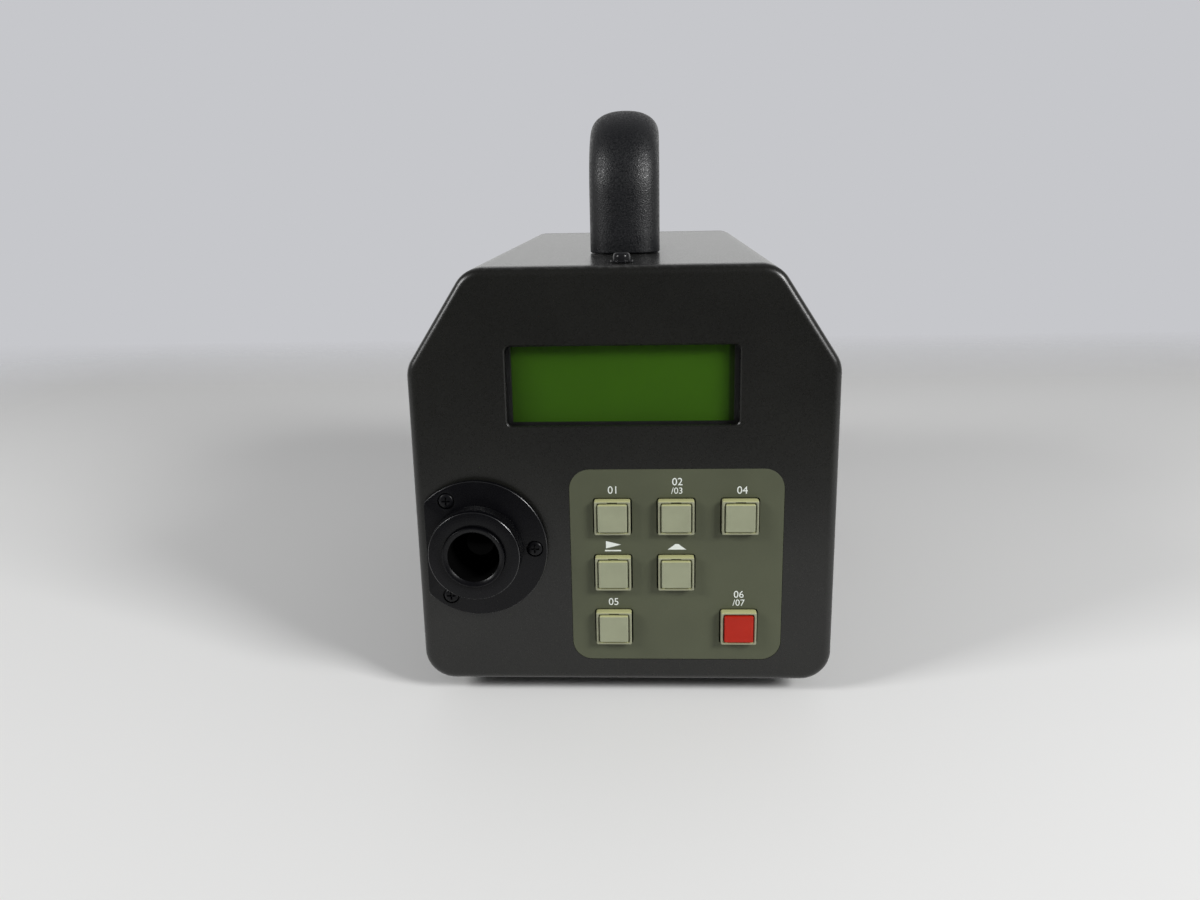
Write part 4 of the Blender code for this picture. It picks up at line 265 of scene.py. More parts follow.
def centre_of(node):
    """The middle of a CAD node's box."""
    return [(low + high) / 2 for low, high in zip(*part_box(node))]


def laid(across, up, along, centre, facing):
    """Points given across, up and along a line that starts at centre and faces a named axis."""
    along = along * (-1 if facing[0] == "-" else 1)
    order = {"X": (along, across, up), "Y": (across, along, up), "Z": (across, up, along)}[facing[1]]
    return np.stack(np.broadcast_arrays(*order), -1) + np.asarray(centre, float)


def eased(corners, reach, closed=True, steps=4):
    """Rounds the corners of a profile with parabolas.

    Each runs between the points that lie reach away from the corner on its two edges, or 0.45 of an
    edge where that is less. With u from 0 to 1 it is (1-u)^2 times the first point, 2u(1-u) times the
    corner and u^2 times the last one.
    """
    corners = np.asarray(corners, float)
    back = np.roll(corners, 1, 0) - corners
    onward = np.roll(corners, -1, 0) - corners
    back_length = np.linalg.norm(back, axis=1, keepdims=True)
    onward_length = np.linalg.norm(onward, axis=1, keepdims=True)
    first = corners + back / back_length * np.minimum(reach, 0.45 * back_length)
    last = corners + onward / onward_length * np.minimum(reach, 0.45 * onward_length)
    u = np.linspace(0, 1, steps)[None, :, None]
    curves = (1 - u) ** 2 * first[:, None] + 2 * u * (1 - u) * corners[:, None] + u**2 * last[:, None]
    if closed:
        return curves.reshape(-1, 2)
    return np.concatenate((corners[:1], curves[1:-1].reshape(-1, 2), corners[-1:]))


def closed_piece(name, points, faces, finish=None):
    """A piece from points and faces. Doubled points are merged and the faces are turned outwards."""
    mesh = bpy.data.meshes.new(name)
    mesh.from_pydata(points.tolist(), [], faces)
    bm = bmesh.new()
    bm.from_mesh(mesh)
    bmesh.ops.remove_doubles(bm, verts=bm.verts, dist=weld_distance)
    bmesh.ops.recalc_face_normals(bm, faces=bm.faces)
    bm.to_mesh(mesh)
    bm.free()
    if finish:
        mesh.materials.append(finish)
    made = bpy.data.objects.new(name, mesh)
    bpy.context.scene.collection.objects.link(made)
    return made


def skinned(name, rings, finish=None, ends="capped"):
    """Quads between each ring and the next, the first and last of them capped, joined or left open.

    A ring of equal points closes a pole. Edges over the sharp angle stay crisp.
    """
    rings = np.asarray(rings, float)
    rows, count = rings.shape[:2]
    here = np.arange(rows if ends == "joined" else rows - 1)[:, None] * count
    there = (here + count) % (rows * count)
    column = np.arange(count)[None, :]
    after = (column + 1) % count
    quads = np.stack((here + column, here + after, there + after, there + column), -1)
    faces = quads.reshape(-1, 4).tolist()
    if ends == "capped":
        faces += [list(range(count)), list(range((rows - 1) * count, rows * count))]
    made = closed_piece(name, rings.reshape(-1, 3), faces, finish)
    made.data.shade_smooth()
    made.data.set_sharp_from_angle(angle=sharp_angle)
    return made


def turned(name, profile, centre, facing, finish=None, steps=96, ends="joined", ripple=0, flat=None):
    """A turning: profile gives (radius, distance along the axis), at angle t in equal steps.

    A point is at radius times cos t across and radius times sin t up. The ripple is added to the
    radius, and flat cuts the turning off at that distance on its left side.
    """
    profile = np.asarray(profile, float)
    angle = np.linspace(0, 2 * np.pi, steps, endpoint=False)[None, :]
    radius = profile[:, :1] + ripple
    across = radius * np.cos(angle)
    if flat:
        across = np.maximum(across, -flat)
    rings = laid(across, radius * np.sin(angle), profile[:, 1:], centre, facing)
    return skinned(name, rings, finish, ends)


def carved(target, *cutters):
    """Cuts the cutters out of a piece for good and removes them."""
    for cutter in cutters:
        modifier = target.modifiers.new(cutter.name, "BOOLEAN")
        modifier.solver = "EXACT"
        modifier.object = cutter
    bpy.context.view_layer.update()
    whole = target.evaluated_get(bpy.context.evaluated_depsgraph_get())
    mesh = bpy.data.meshes.new_from_object(whole)
    target.modifiers.clear()
    spare = [target.data] + [cutter.data for cutter in cutters]
    target.data = mesh
    for cutter in cutters:
        bpy.data.objects.remove(cutter)
    for old in spare:
        bpy.data.meshes.remove(old)
    mesh.name = target.name
    mesh.set_sharp_from_angle(angle=sharp_angle)
    return target


def crossed(name, reach, half_width, depth, top, centre, facing):
    """A cross-shaped punch that shrinks by half from the top to its depth, and widens above the top."""
    r, w = reach, half_width
    outline = [(r, w), (w, w), (w, r), (-w, r), (-w, w), (-r, w)]
    outline += [(-across, -up) for across, up in outline]
    stations = ((top + cross_lead, 1.1), (top, 1.0), (top - depth, 0.5))
    rings = [laid(*(np.array(outline) * scale).T, along, centre, facing) for along, scale in stations]
    return skinned(name, rings)


def pan_screw(name, centre, facing, radius, height, finish, washer=None):
    """A pan head with a cross recess, on a washer of (radius, thickness) where there is one.

    With q the share of the radius, the crown's height above the seat is the head's height times
    0.45 plus 0.55 times the square root of 1 minus q cubed.
    """
    q = np.linspace(0, 1, 12)
    seat = washer[1] if washer else 0.0
    crown = np.stack((radius * q, seat + height * (0.45 + 0.55 * np.sqrt(1 - q**3))), 1)
    rim = [(radius, seat)]
    if washer:
        rim += eased([(washer[0], seat), (washer[0], 0)], 0.0002, steps=3).tolist()
    profile = np.concatenate((crown, rim, [(0, 0)]))
    head = turned(name, profile, centre, facing, finish, 40, ends="open")
    top = seat + height
    reach, half_width = radius * cross_reach, radius * cross_half_width
    return carved(head, crossed("punch", reach, half_width, height * cross_depth, top, centre, facing))


foot_rubber = varied_finish(
    "foot_rubber", (0.010, 0.010, 0.010), (0.017, 0.017, 0.017), (0.75, 0.95), 0.004, 0.0005, 0.00004
)
plated_steel = varied_finish(
    "plated_steel", (0.48, 0.48, 0.47), (0.60, 0.60, 0.58), (0.22, 0.36), 0.004,
    relief=0.000004, metallic=1.0,
)
for foot_node in foot_nodes:
    foot_low, foot_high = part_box(foot_node)
    foot_centre = (*centre_of(foot_node)[:2], foot_high.z)
    foot_height = foot_high.z - foot_low.z
    foot_radius = (foot_high.x - foot_low.x) / 2
    recess_floor = foot_height - foot_recess_depth
    foot_sides = [(0, 0), (foot_radius, 0), (foot_radius * foot_taper, foot_height)]
    foot_sides += [(foot_recess_radius, foot_height), (foot_recess_radius, recess_floor)]
    foot_sides = eased(foot_sides + [(0, recess_floor)], foot_rim, closed=False)
    foot = turned(f"{foot_node}_rubber", foot_sides, foot_centre, "-Z", foot_rubber, 64, ends="open")
    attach(foot, "chassis")
    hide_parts(foot_node)
    screw_seat = Vector(foot_centre) - Vector((0, 0, recess_floor + foot_screw_gap))
    foot_screw = pan_screw(
        f"{foot_node}_screw", screw_seat, "-Z", foot_screw_radius, foot_screw_height, plated_steel
    )
    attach(foot_screw, "chassis")

# Tripod socket. A plated steel bush pressed into the middle of the base plate, with a quarter-inch
# thread cut through it.
socket_low, socket_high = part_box("tripod_socket")
socket_centre = (0, centre_of("tripod_socket")[1], socket_high.z)
socket_radius = (socket_high.x - socket_low.x) / 2
socket_length = socket_high.z - socket_low.z
socket_bore = 0.0032
socket_turn_pitch = 0.00127
socket_thread_depth = 0.0004
socket_edge = 0.0006


def thread(root, depth, start, end, turns):
    """A thread's profile: the radius steps between root and root plus depth, twice in each turn."""
    radii = root + depth * (np.arange(2 * turns + 1) % 2)
    return np.stack((radii, np.linspace(start, end, 2 * turns + 1)), 1)


turn_count = int(socket_length / socket_turn_pitch)
socket_profile = np.concatenate(
    (
        eased([(socket_radius, 0), (socket_radius, socket_length)], socket_edge),
        [(socket_bore + socket_edge, socket_length)],
        thread(socket_bore, socket_thread_depth, socket_length - socket_edge, socket_edge, turn_count),
        [(socket_bore + socket_edge, 0)],
    )
)
socket = turned("tripod_bush", socket_profile, socket_centre, "-Z", plated_steel, 64)
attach(socket, "chassis")
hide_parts("tripod_socket")

# Optics on the bench. Two front-coated mirrors on posts, the blackened relay tube of the finder, the
# concave grating, and the blackened filter turret on its small motor.
mirror_coat = varied_finish(
    "mirror_coat", (0.82, 0.83, 0.85), (0.88, 0.89, 0.91), (0.02, 0.05), 0.02, 0.002,
    relief=0.000001, metallic=1.0,
)
dress(mirror_coat, "aperture_mirror", "finder_mirror", "concave_grating")
blackened = varied_finish(
    "blackened_metal", (0.006, 0.006, 0.007), (0.012, 0.012, 0.013), (0.45, 0.65),
    grain=0.0004, relief=0.00001,
)
dress(blackened, "finder_tube", "filter_wheel")
dress(plated_steel, "wheel_motor", "handle_strap")

# Circuit boards. Green lacquered glass-fibre boards: the main one over the spectrograph, and one each
# behind the display, the keys and the line sensor.
lacquer_dark = (0.006, 0.060, 0.022)
lacquer_light = (0.012, 0.100, 0.040)
track_colour = (0.030, 0.170, 0.075)
track_pitch = 0.0022
track_share = 0.12
board_finish = varied_finish(
    "board_lacquer", lacquer_dark, lacquer_light, (0.28, 0.42), grain=0.001, relief=0.00001
)
track_settings = {
    "Vector": add(board_finish, "TexCoord").outputs["Object"],
    "Scale": 1 / track_pitch,
    "Mortar Size": track_share,
    "Color1": (*lacquer_dark, 1),
    "Color2": (*lacquer_light, 1),
    "Mortar": (*track_colour, 1),
}
feed(board_finish, "Base Color", add(board_finish, "TexBrick", track_settings).outputs["Color"])
dress(board_finish, "main_board", "display_board", "key_board", "sensor_board")

# End panels. Two castings with a rounded edge, sloping shoulders and a set-in lip for the cover,
# sprayed like the base plate between them with a satin charcoal paint that has a very fine texture. It
# is rubbed thin along the top edge, where bags and shelves have touched it.
body_half_width = panel_high.x
body_height = panel_high.z - lower_edge_z
shoulder_run = 0.022
shoulder_drop = 0.034
fold_radius = 0.011
fold_steps = 14
panel_edge_radius = 0.003
panel_rim_depth = 0.0049
panel_lip_inset = 0.0018
panel_lip_wall = 0.0025
panel_lip_depth = panel_high.y - face_y
front_plate = 0.0035
rear_plate = 0.0045
fine_break = 0.0002
window_chamfer = 0.0004
window_corner = 0.002
pane_overlap = 0.0022
panel_dark = (0.0068, 0.0068, 0.0058)
panel_light = (0.0088, 0.0088, 0.0074)
bare_edge_colour = (0.024, 0.024, 0.0225)
edge_wear = (0.0011, 0.0004)
edge_wear_scale = 600.0
edge_wear_spots = (0.48, 0.62)
front_origin = (0, face_y, lower_edge_z)
rear_face_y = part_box("rear_panel")[1].y
rear_origin = (0, rear_face_y, lower_edge_z)
keys = ("menu", "select", "enter", "right", "up", "memory", "measure")
key_nodes = tuple(f"{key}_key" for key in keys)
key_hole_gap = 0.00055
key_hole_corner = 0.0006
smallest_corner = 0.00005
overlay_corner = 0.007
overlay_pocket = 0.0008
fitting_gap = 0.0003
punch_lead = 0.0005
punch_past = 0.001
flange_radius = 0.0252
flange_tube_radius = 0.0135
flange_hole_radius = 0.0018
objective_hole_radius = 0.030
inwards = np.array((1, -1, 1, -1))


def corner_ways(corners):
    """For each corner: the way back along the outline, half the angle there, and its bisector."""
    back = np.roll(corners, 1, 0) - corners
    onward = np.roll(corners, -1, 0) - corners
    back /= np.linalg.norm(back, axis=1, keepdims=True)
    onward /= np.linalg.norm(onward, axis=1, keepdims=True)
    half = np.arccos((back * onward).sum(1))[:, None] / 2
    bisector = (back + onward) / np.linalg.norm(back + onward, axis=1, keepdims=True)
    return back, half, bisector


def rounded_outline(corners, radius, steps):
    """A convex anticlockwise outline with an arc at each corner.

    An arc's centre is on the corner's bisector, at the radius over the sine of half the corner's
    angle, and the arc sweeps a straight angle less the corner's angle.
    """
    corners = np.asarray(corners, float)
    back, half, bisector = corner_ways(corners)
    centre = corners + bisector * radius / np.sin(half)
    spoke = corners + back * radius / np.tan(half) - centre
    angle = (np.pi - 2 * half) * np.linspace(0, 1, steps + 1)[None, :]
    across = centre[:, :1] + np.cos(angle) * spoke[:, :1] - np.sin(angle) * spoke[:, 1:]
    up = centre[:, 1:] + np.sin(angle) * spoke[:, :1] + np.cos(angle) * spoke[:, 1:]
    return np.stack((across.ravel(), up.ravel()), 1)


def body_outline(growth):
    """The body's section, grown or shrunk all round, as x and height from the lower left corner."""
    shoulder_x = body_half_width - shoulder_run
    shoulder_z = body_height - shoulder_drop
    right = [(body_half_width, 0), (body_half_width, shoulder_z), (shoulder_x, body_height)]
    corners = np.array([(-body_half_width, 0)] + right + [(-x, z) for x, z in right[:0:-1]])
    half, bisector = corner_ways(corners)[1:]
    return rounded_outline(corners - bisector * growth / np.sin(half), fold_radius + growth, fold_steps)


def box_outline(edges, radius, steps=6):
    """A rounded rectangle between (low, high, low, high) edges, as a function of its growth."""
    low, high, bottom, top = edges

    def grown(by):
        corners = [(low - by, bottom - by), (high + by, bottom - by)]
        corners += [(high + by, top + by), (low - by, top + by)]
        return rounded_outline(corners, max(radius + by, smallest_corner), steps)

    return grown


def disc_outline(centre, radius, steps=64):
    """A circle about a point, as a function of its growth."""
    angle = np.linspace(0, 2 * np.pi, steps, endpoint=False)
    spokes = np.stack((np.cos(angle), np.sin(angle)), 1)
    return lambda by: np.asarray(centre) + (radius + by) * spokes


def ringed(outline, stations, origin, facing):
    """An outline's rings at stations of (distance along the axis, growth)."""
    return np.array([laid(*outline(growth).T, along, origin, facing) for along, growth in stations])


def lofted(name, outline, stations, origin, facing, finish=None):
    """An outline carried through stations of (distance along the axis, growth), capped at both ends."""
    return skinned(name, ringed(outline, stations, origin, facing), finish)


def punch(outline, start, end, origin, facing, growth=0.0):
    """A straight punch with an outline, between two distances along the axis."""
    return lofted("punch", outline, [(start, growth), (end, growth)], origin, facing)


def quarter_round(radius, start=0.0, steps=6):
    """Stations of a front edge that is rounded from a start inwards.

    At t from 0 to a quarter turn, the depth is the radius times 1 less cos t, and the growth is the
    radius times sin t less 1.
    """
    t = np.linspace(0, np.pi / 2, steps + 1)
    return np.stack((start + radius * (1 - np.cos(t)), radius * (np.sin(t) - 1)), 1).tolist()


def span(node, start):
    """How far behind a y the front and the back of a CAD node lie."""
    low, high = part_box(node)
    return low.y - start, high.y - start


def node_edges(node):
    """A CAD node's lowest and highest x, and its lowest and highest height."""
    low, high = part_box(node)
    return low.x, high.x, low.z - lower_edge_z, high.z - lower_edge_z


def end_panel(name, plate, origin, facing):
    """A dished casting, from the flat of its face round the edge and the lip to the plate's back."""
    lip = -panel_lip_inset
    inner = lip - panel_lip_wall
    edge = quarter_round(panel_edge_radius, steps=9)
    stations = [(0, edge[0][1] - fine_break)] + edge
    stations += [(panel_rim_depth - fine_break, 0), (panel_rim_depth, -fine_break)]
    stations += [(panel_rim_depth, lip), (panel_lip_depth, lip), (panel_lip_depth, inner)]
    stations += [(plate, inner)]
    return lofted(name, body_outline, stations, origin, facing, panel_paint)


def evened(piece):
    """Lets large faces set the shading of the points that they share with small ones."""
    modifier = piece.modifiers.new("even_shading", "WEIGHTED_NORMAL")
    modifier.keep_sharp = True


def key_holes(depth):
    """A square punch for each key, a little larger than its bezel."""
    outlines = [box_outline(node_edges(f"{key}_bezel"), key_hole_corner) for key in keys]
    return [punch(outline, -punch_lead, depth, front_origin, "+Y", key_hole_gap) for outline in outlines]


def tinted(finish, share, colour):
    """Turns the colour that a finish has so far into another where the share is 1."""
    below = shader_of(finish).inputs["Base Color"].links[0].from_socket
    feed(finish, "Base Color", mixed(finish, share, below, colour))


panel_paint = varied_finish(
    "charcoal_paint", panel_dark, panel_light, (0.26, 0.34), 0.03, 0.0006, 0.00001
)
wear_heights = [lower_edge_z + body_height - below for below in edge_wear]
near_top = between(panel_paint, place_on(panel_paint)["Z"], *wear_heights)
paint_place = add(panel_paint, "TexCoord").outputs["Object"]
rub = add(panel_paint, "TexNoise", {"Vector": paint_place, "Scale": edge_wear_scale, "Detail": 5.0})
rub_spots = between(panel_paint, rub.outputs["Fac"], *edge_wear_spots)
tinted(panel_paint, combined(panel_paint, "MULTIPLY", near_top, rub_spots), bare_edge_colour)
dress(panel_paint, "base_plate")

eyepiece_z = centre_of("eyepiece_flange")[2]
eyepiece_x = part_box("eyepiece_flange")[1].x - flange_radius
flange_screw_nodes = ("flange_screw_1", "flange_screw_2", "flange_screw_3")
pane_edges = node_edges("display_window")
window_edges = np.array(pane_edges) + pane_overlap * inwards
window_stations = [(-punch_lead, window_chamfer + punch_lead), (window_chamfer, 0)]
window_stations += [(front_plate + punch_past, 0)]
pane_outline = box_outline(pane_edges, window_corner)
pane_seat = span("display_window", face_y)[0] - fitting_gap
overlay_outline = box_outline(node_edges("keypad_overlay"), overlay_corner, 12)
eyepiece_outline = disc_outline((eyepiece_x, eyepiece_z - lower_edge_z), flange_tube_radius + fitting_gap)
panel_back = front_plate + punch_past
front = end_panel("front_casting", front_plate, front_origin, "+Y")
cutters = key_holes(panel_back)
cutters += [
    lofted("punch", box_outline(window_edges, window_corner), window_stations, front_origin, "+Y"),
    punch(pane_outline, pane_seat, panel_back, front_origin, "+Y", fitting_gap),
    punch(overlay_outline, -punch_lead, overlay_pocket, front_origin, "+Y", fitting_gap),
    punch(eyepiece_outline, -punch_lead, panel_back, front_origin, "+Y"),
]
for flange_screw_node in flange_screw_nodes:
    left, right, bottom, top = node_edges(flange_screw_node)
    hole = disc_outline(((left + right) / 2, (bottom + top) / 2), flange_hole_radius, 24)
    cutters.append(punch(hole, -punch_lead, panel_back, front_origin, "+Y"))
carved(front, *cutters)
evened(front)
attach(front, "chassis")
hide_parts("front_panel")

mount_z = centre_of("lens_mount")[2]
objective_hole = disc_outline((0, mount_z - lower_edge_z), objective_hole_radius, 96)
rear = end_panel("rear_casting", rear_plate, rear_origin, "-Y")
carved(rear, punch(objective_hole, -punch_lead, rear_plate + punch_past, rear_origin, "-Y"))
evened(rear)
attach(rear, "chassis")
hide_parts("rear_panel")

# Display. A clear window pane clipped in from behind, and the display module: a black pressed frame
# round a yellow-green liquid crystal cell, darker in a band along its right edge and in a painted shadow
# of the window's edge along its left side.
cell_colour = (0.041, 0.116, 0.0056)
cell_deep_colour = (0.036, 0.102, 0.0056)
cell_dark_band_and_shadow_colour = (0.016, 0.036, 0.004)
cell_low, cell_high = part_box("display_glass")
cell_right_band = (0.0044, 0.0036)
cell_left_shadow_band = (0.006, 0.0016)
cell_left_shadow_share = 0.5
cell_finish = varied_finish(
    "liquid_crystal_cell", cell_deep_colour, cell_colour, (0.30, 0.34), 0.05, 0.0006, 0.0,
    Specular_IOR_Level=0.12,
)
# The cell darkens in a band along its right edge, and in a painted shadow of the window's edge along its
# left side.
cell_x = place_on(cell_finish)["X"]
right_band = between(cell_finish, cell_x, *[cell_high.x - inset for inset in cell_right_band])
left_shadow_ends = [cell_low.x + inset for inset in cell_left_shadow_band]
left_painted_shadow = between(cell_finish, cell_x, *left_shadow_ends, 0.0, cell_left_shadow_share)
tinted(cell_finish, combined(cell_finish, "MAXIMUM", right_band, left_painted_shadow), cell_dark_band_and_shadow_colour)
dress(cell_finish, "display_glass")
frame_black = varied_finish(
    "pressed_black_frame", (0.006, 0.006, 0.006), (0.010, 0.010, 0.010), (0.35, 0.5),
    grain=0.0004, relief=0.000008,
)
dress(frame_black, "display_frame")
pane_finish = varied_finish(
    "clear_pane", (0.010, 0.012, 0.010), (0.014, 0.016, 0.014), (0.03, 0.06), 0.03, 0.003, 0.0, Alpha=0.05
)
dress(pane_finish, "display_window")

# Keypad overlay. A matt olive plastic film, printed on its back, set flush in a pocket of the panel.
# The keys come up through square holes in it. The numerals and arrows over them are white.
overlay_dark = (0.066, 0.073, 0.041)
overlay_light = (0.074, 0.082, 0.046)
overlay_spread = 0.0002
overlay_edge = 0.0001
print_depths = (-0.00004, 0.00002)
numerals = (
    ("01", -0.0041, 0.0726, 0.00275),
    ("02", 0.0189, 0.0756, 0.0027),
    ("/03", 0.0187, 0.0725, 0.0023),
    ("04", 0.0417, 0.0724, 0.00275),
    ("05", -0.0042, 0.0302, 0.0027),
    ("06", 0.0410, 0.0331, 0.00265),
    ("/07", 0.0410, 0.0300, 0.0024),
)
up_arrow_left = [(0.0154, 0.0516), (0.0221, 0.0516), (0.0203, 0.0529)]
up_arrow_top = [(0.0193, 0.0537), (0.0182, 0.0537), (0.0172, 0.0529)]
arrows = {
    "right_arrow": [(-0.0066, 0.0521), (-0.0012, 0.0535), (-0.0066, 0.0549)],
    "right_bar": [(-0.0070, 0.0510), (-0.0012, 0.0510), (-0.0012, 0.0515), (-0.0070, 0.0515)],
    "up_arrow": up_arrow_left + up_arrow_top,
}
overlay_film = varied_finish(
    "olive_film", overlay_dark, overlay_light, (0.50, 0.62), 0.02, 0.00035, 0.000008
)
overlay_back = span("keypad_overlay", face_y)[1]
overlay_stations = [(0, overlay_spread - overlay_edge), (overlay_edge, overlay_spread)]
overlay_stations += [(overlay_back, overlay_spread)]
overlay = lofted("keypad_film", overlay_outline, overlay_stations, front_origin, "+Y", overlay_film)
carved(overlay, *key_holes(overlay_back + punch_lead))
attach(overlay, "chassis")
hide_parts("keypad_overlay")


def read(items, field, width=3, kind=float):
    """A row of numbers for each item of a mesh."""
    values = np.empty(len(items) * width, kind)
    items.foreach_get(field, values)
    return values.reshape(-1, width)


def printed_numerals(name, entries, finish, wrapped):
    """Numerals in thin relief, each entry given by its words, middle, lowest height and height.

    The function wrapped turns the arrays of across, up and depth into points in space.
    """
    points, faces = [], []
    for words, middle, bottom, height in entries:
        curve = bpy.data.curves.new(name, "FONT")
        curve.body = words
        curve.extrude = 0.5
        holder = bpy.data.objects.new(name, curve)
        bpy.context.scene.collection.objects.link(holder)
        bpy.context.view_layer.update()
        shape = holder.evaluated_get(bpy.context.evaluated_depsgraph_get()).to_mesh()
        local = read(shape.vertices, "co")
        low, high = local.min(0), local.max(0)
        scale = height / (high[1] - low[1])
        across = middle + (local[:, 0] - (low[0] + high[0]) / 2) * scale
        up = bottom + (local[:, 1] - low[1]) * scale
        start = sum(len(group) for group in points)
        points.append(wrapped(across, up, np.where(local[:, 2] > 0, *print_depths)))
        faces += [[start + i for i in face.vertices] for face in shape.polygons]
        bpy.data.objects.remove(holder)
        bpy.data.curves.remove(curve)
    return closed_piece(name, np.concatenate(points), faces, finish)


def on_panel(across, up, depth):
    """Places points on the front panel."""
    return laid(across, up, depth, front_origin, "+Y")


white_ink = varied_finish(
    "white_ink", (0.72, 0.76, 0.72), (0.78, 0.82, 0.78), (0.45, 0.55), 0.004, relief=0.000004
)
legends = [printed_numerals("key_numerals", numerals, white_ink, on_panel)]
for arrow_name, corners in arrows.items():
    rings = [on_panel(*np.array(corners).T, depth) for depth in print_depths]
    legends.append(skinned(arrow_name, rings, white_ink))
for legend in legends:
    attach(legend, "chassis")

# Keys. Seven square push buttons. Each is a cream moulded bezel that stands on the key board, with a
# cap that slides in it; the caps are cream too, but for a red one. The bezel has a small notch above
# the cap on all but the red key.
bezel_rim = 0.0009
bezel_corner = 0.0006
bezel_edge = 0.00038
cap_corner = 0.0005
cap_edge = 0.0004
cap_depth = 0.0045
cap_gap = 0.0003
cap_dish = (0.00006, 0.00001)
cap_dish_inset = (0.003, 0.0004)
notch_half_width = 0.0018
notch_rise = 0.00045
notch_overlap = 0.0003
notch_corner = 0.0001
# Painted light: the sides of the bezels and caps that face up turn towards a paler, yellower cream, as if
# lit from above.
top_lit_cream = (0.44, 0.445, 0.22)
top_light_rise = (0.1, 0.7)


def lit_from_above(finish):
    """Turns the sides that face up towards a paler, yellower cream: painted light falling from above."""
    normal = add(finish, "SeparateXYZ", {0: add(finish, "NewGeometry").outputs["Normal"]}).outputs["Z"]
    tinted(finish, between(finish, normal, *top_light_rise), top_lit_cream)


bezel_plastic = varied_finish(
    "cream_bezel_plastic", (0.270, 0.277, 0.187), (0.300, 0.308, 0.208), (0.38, 0.48), 0.006, 0.0004
)
# Painted light from above on the bezel plastic's up-facing sides.
lit_from_above(bezel_plastic)
cap_plastic = varied_finish(
    "cream_cap_plastic", (0.272, 0.288, 0.191), (0.296, 0.313, 0.208), (0.42, 0.52), 0.006, 0.0004
)
# The same painted light from above on the cap plastic's up-facing sides.
lit_from_above(cap_plastic)
red_plastic = varied_finish(
    "red_cap_plastic", (0.375, 0.012, 0.003), (0.410, 0.015, 0.004), (0.38, 0.48), 0.006, 0.0004,
    Specular_IOR_Level=0.3,
)
for key in key_nodes:
    bezel_node = key.replace("key", "bezel")
    stand, sole = span(bezel_node, face_y)
    outer_edges = np.array(node_edges(bezel_node))
    inner_edges = outer_edges + bezel_rim * inwards
    rounding = quarter_round(bezel_edge, stand, 4)
    outer_stations = [(sole, 0)] + rounding[::-1]
    inner_stations = [(depth, -growth) for depth, growth in rounding] + [(sole, 0)]
    bezel_rings = np.concatenate(
        (
            ringed(box_outline(outer_edges, bezel_corner), outer_stations, front_origin, "+Y"),
            ringed(box_outline(inner_edges, cap_corner), inner_stations, front_origin, "+Y"),
        )
    )
    bezel = skinned(f"{bezel_node}_moulding", bezel_rings, bezel_plastic, ends="joined")
    if key != "measure_key":
        middle = (outer_edges[0] + outer_edges[1]) / 2
        notch_edges = (middle - notch_half_width, middle + notch_half_width)
        notch_edges += (inner_edges[3] - notch_overlap, inner_edges[3] + notch_rise)
        notch = box_outline(notch_edges, notch_corner, 1)
        carved(bezel, punch(notch, stand - punch_lead, 0.0, front_origin, "+Y"))
    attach(bezel, "chassis")
    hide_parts(bezel_node)
    cap_front = span(key, face_y)[0]
    cap_stations = [(cap_front + cap_dish[0], -cap_dish_inset[0])]
    cap_stations += [(cap_front + cap_dish[1], -cap_edge - cap_dish_inset[1])]
    cap_stations += quarter_round(cap_edge, cap_front) + [(cap_front + cap_depth, 0)]
    cap_outline = box_outline(inner_edges + cap_gap * inwards, cap_corner)
    cap_finish = red_plastic if key == "measure_key" else cap_plastic
    cap = lofted(f"{key}_cap", cap_outline, cap_stations, front_origin, "+Y", cap_finish)
    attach(cap, key)
    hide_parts(key)

# Eyepiece. Turned aluminium, black anodised: a flange with one flat, held by three cross-head screws
# in counterbores, a knurled ring that sets the focus for the eye, and the barrel that the ring moves.
# The barrel is threaded inside against stray light and holds the eye lens.
eyepiece_origin = (eyepiece_x, face_y, eyepiece_z)
flange_flat = 0.0183
flange_front = -0.0028
flange_back = -0.0003
flange_bore = 0.0113
flange_neck = 0.0133
flange_neck_front = -0.0063
flange_tube_end = span("eyepiece_flange", face_y)[1]
sink_radius = 0.00305
sink_floor = flange_front + 0.0015
sink_screw_height = 0.0017
turned_edge = 0.0005
chamfer_lean = (0.3, 0.96)
anodised = varied_finish(
    "black_anodised", (0.0016, 0.0016, 0.0023), (0.0024, 0.0024, 0.0033), (0.24, 0.34),
    relief=0.000004, Specular_IOR_Level=0.22,
)
rubbed_edge = varied_finish(
    "rubbed_anodised_edge", (0.006, 0.006, 0.007), (0.010, 0.010, 0.011), (0.20, 0.28), 0.004,
    relief=0.000004, Specular_IOR_Level=1.0,
)


def stepped(radii, places):
    """A closed profile of steps: at each place along the axis one radius gives way to the next."""
    steps = zip(places, radii, [*radii[1:], radii[0]])
    return [(radius, place) for place, *pair in steps for radius in pair]


def recoated(piece, finish, chosen):
    """Gives another finish to the chosen faces of a piece."""
    mesh = piece.data
    coats = read(mesh.polygons, "material_index", 1, np.int32).ravel()
    mesh.materials.append(finish)
    coats[chosen] = len(mesh.materials) - 1
    mesh.polygons.foreach_set("material_index", coats)


def edges_rubbed(piece, front=np.inf):
    """Rubs the chamfers of a turning, whose normals lean both ways, where they lie in front of a y."""
    faces = piece.data.polygons
    lean = np.abs(read(faces, "normal")[:, 1])
    chamfer = (lean > chamfer_lean[0]) & (lean < chamfer_lean[1])
    recoated(piece, rubbed_edge, chamfer & (read(faces, "center")[:, 1] < front))


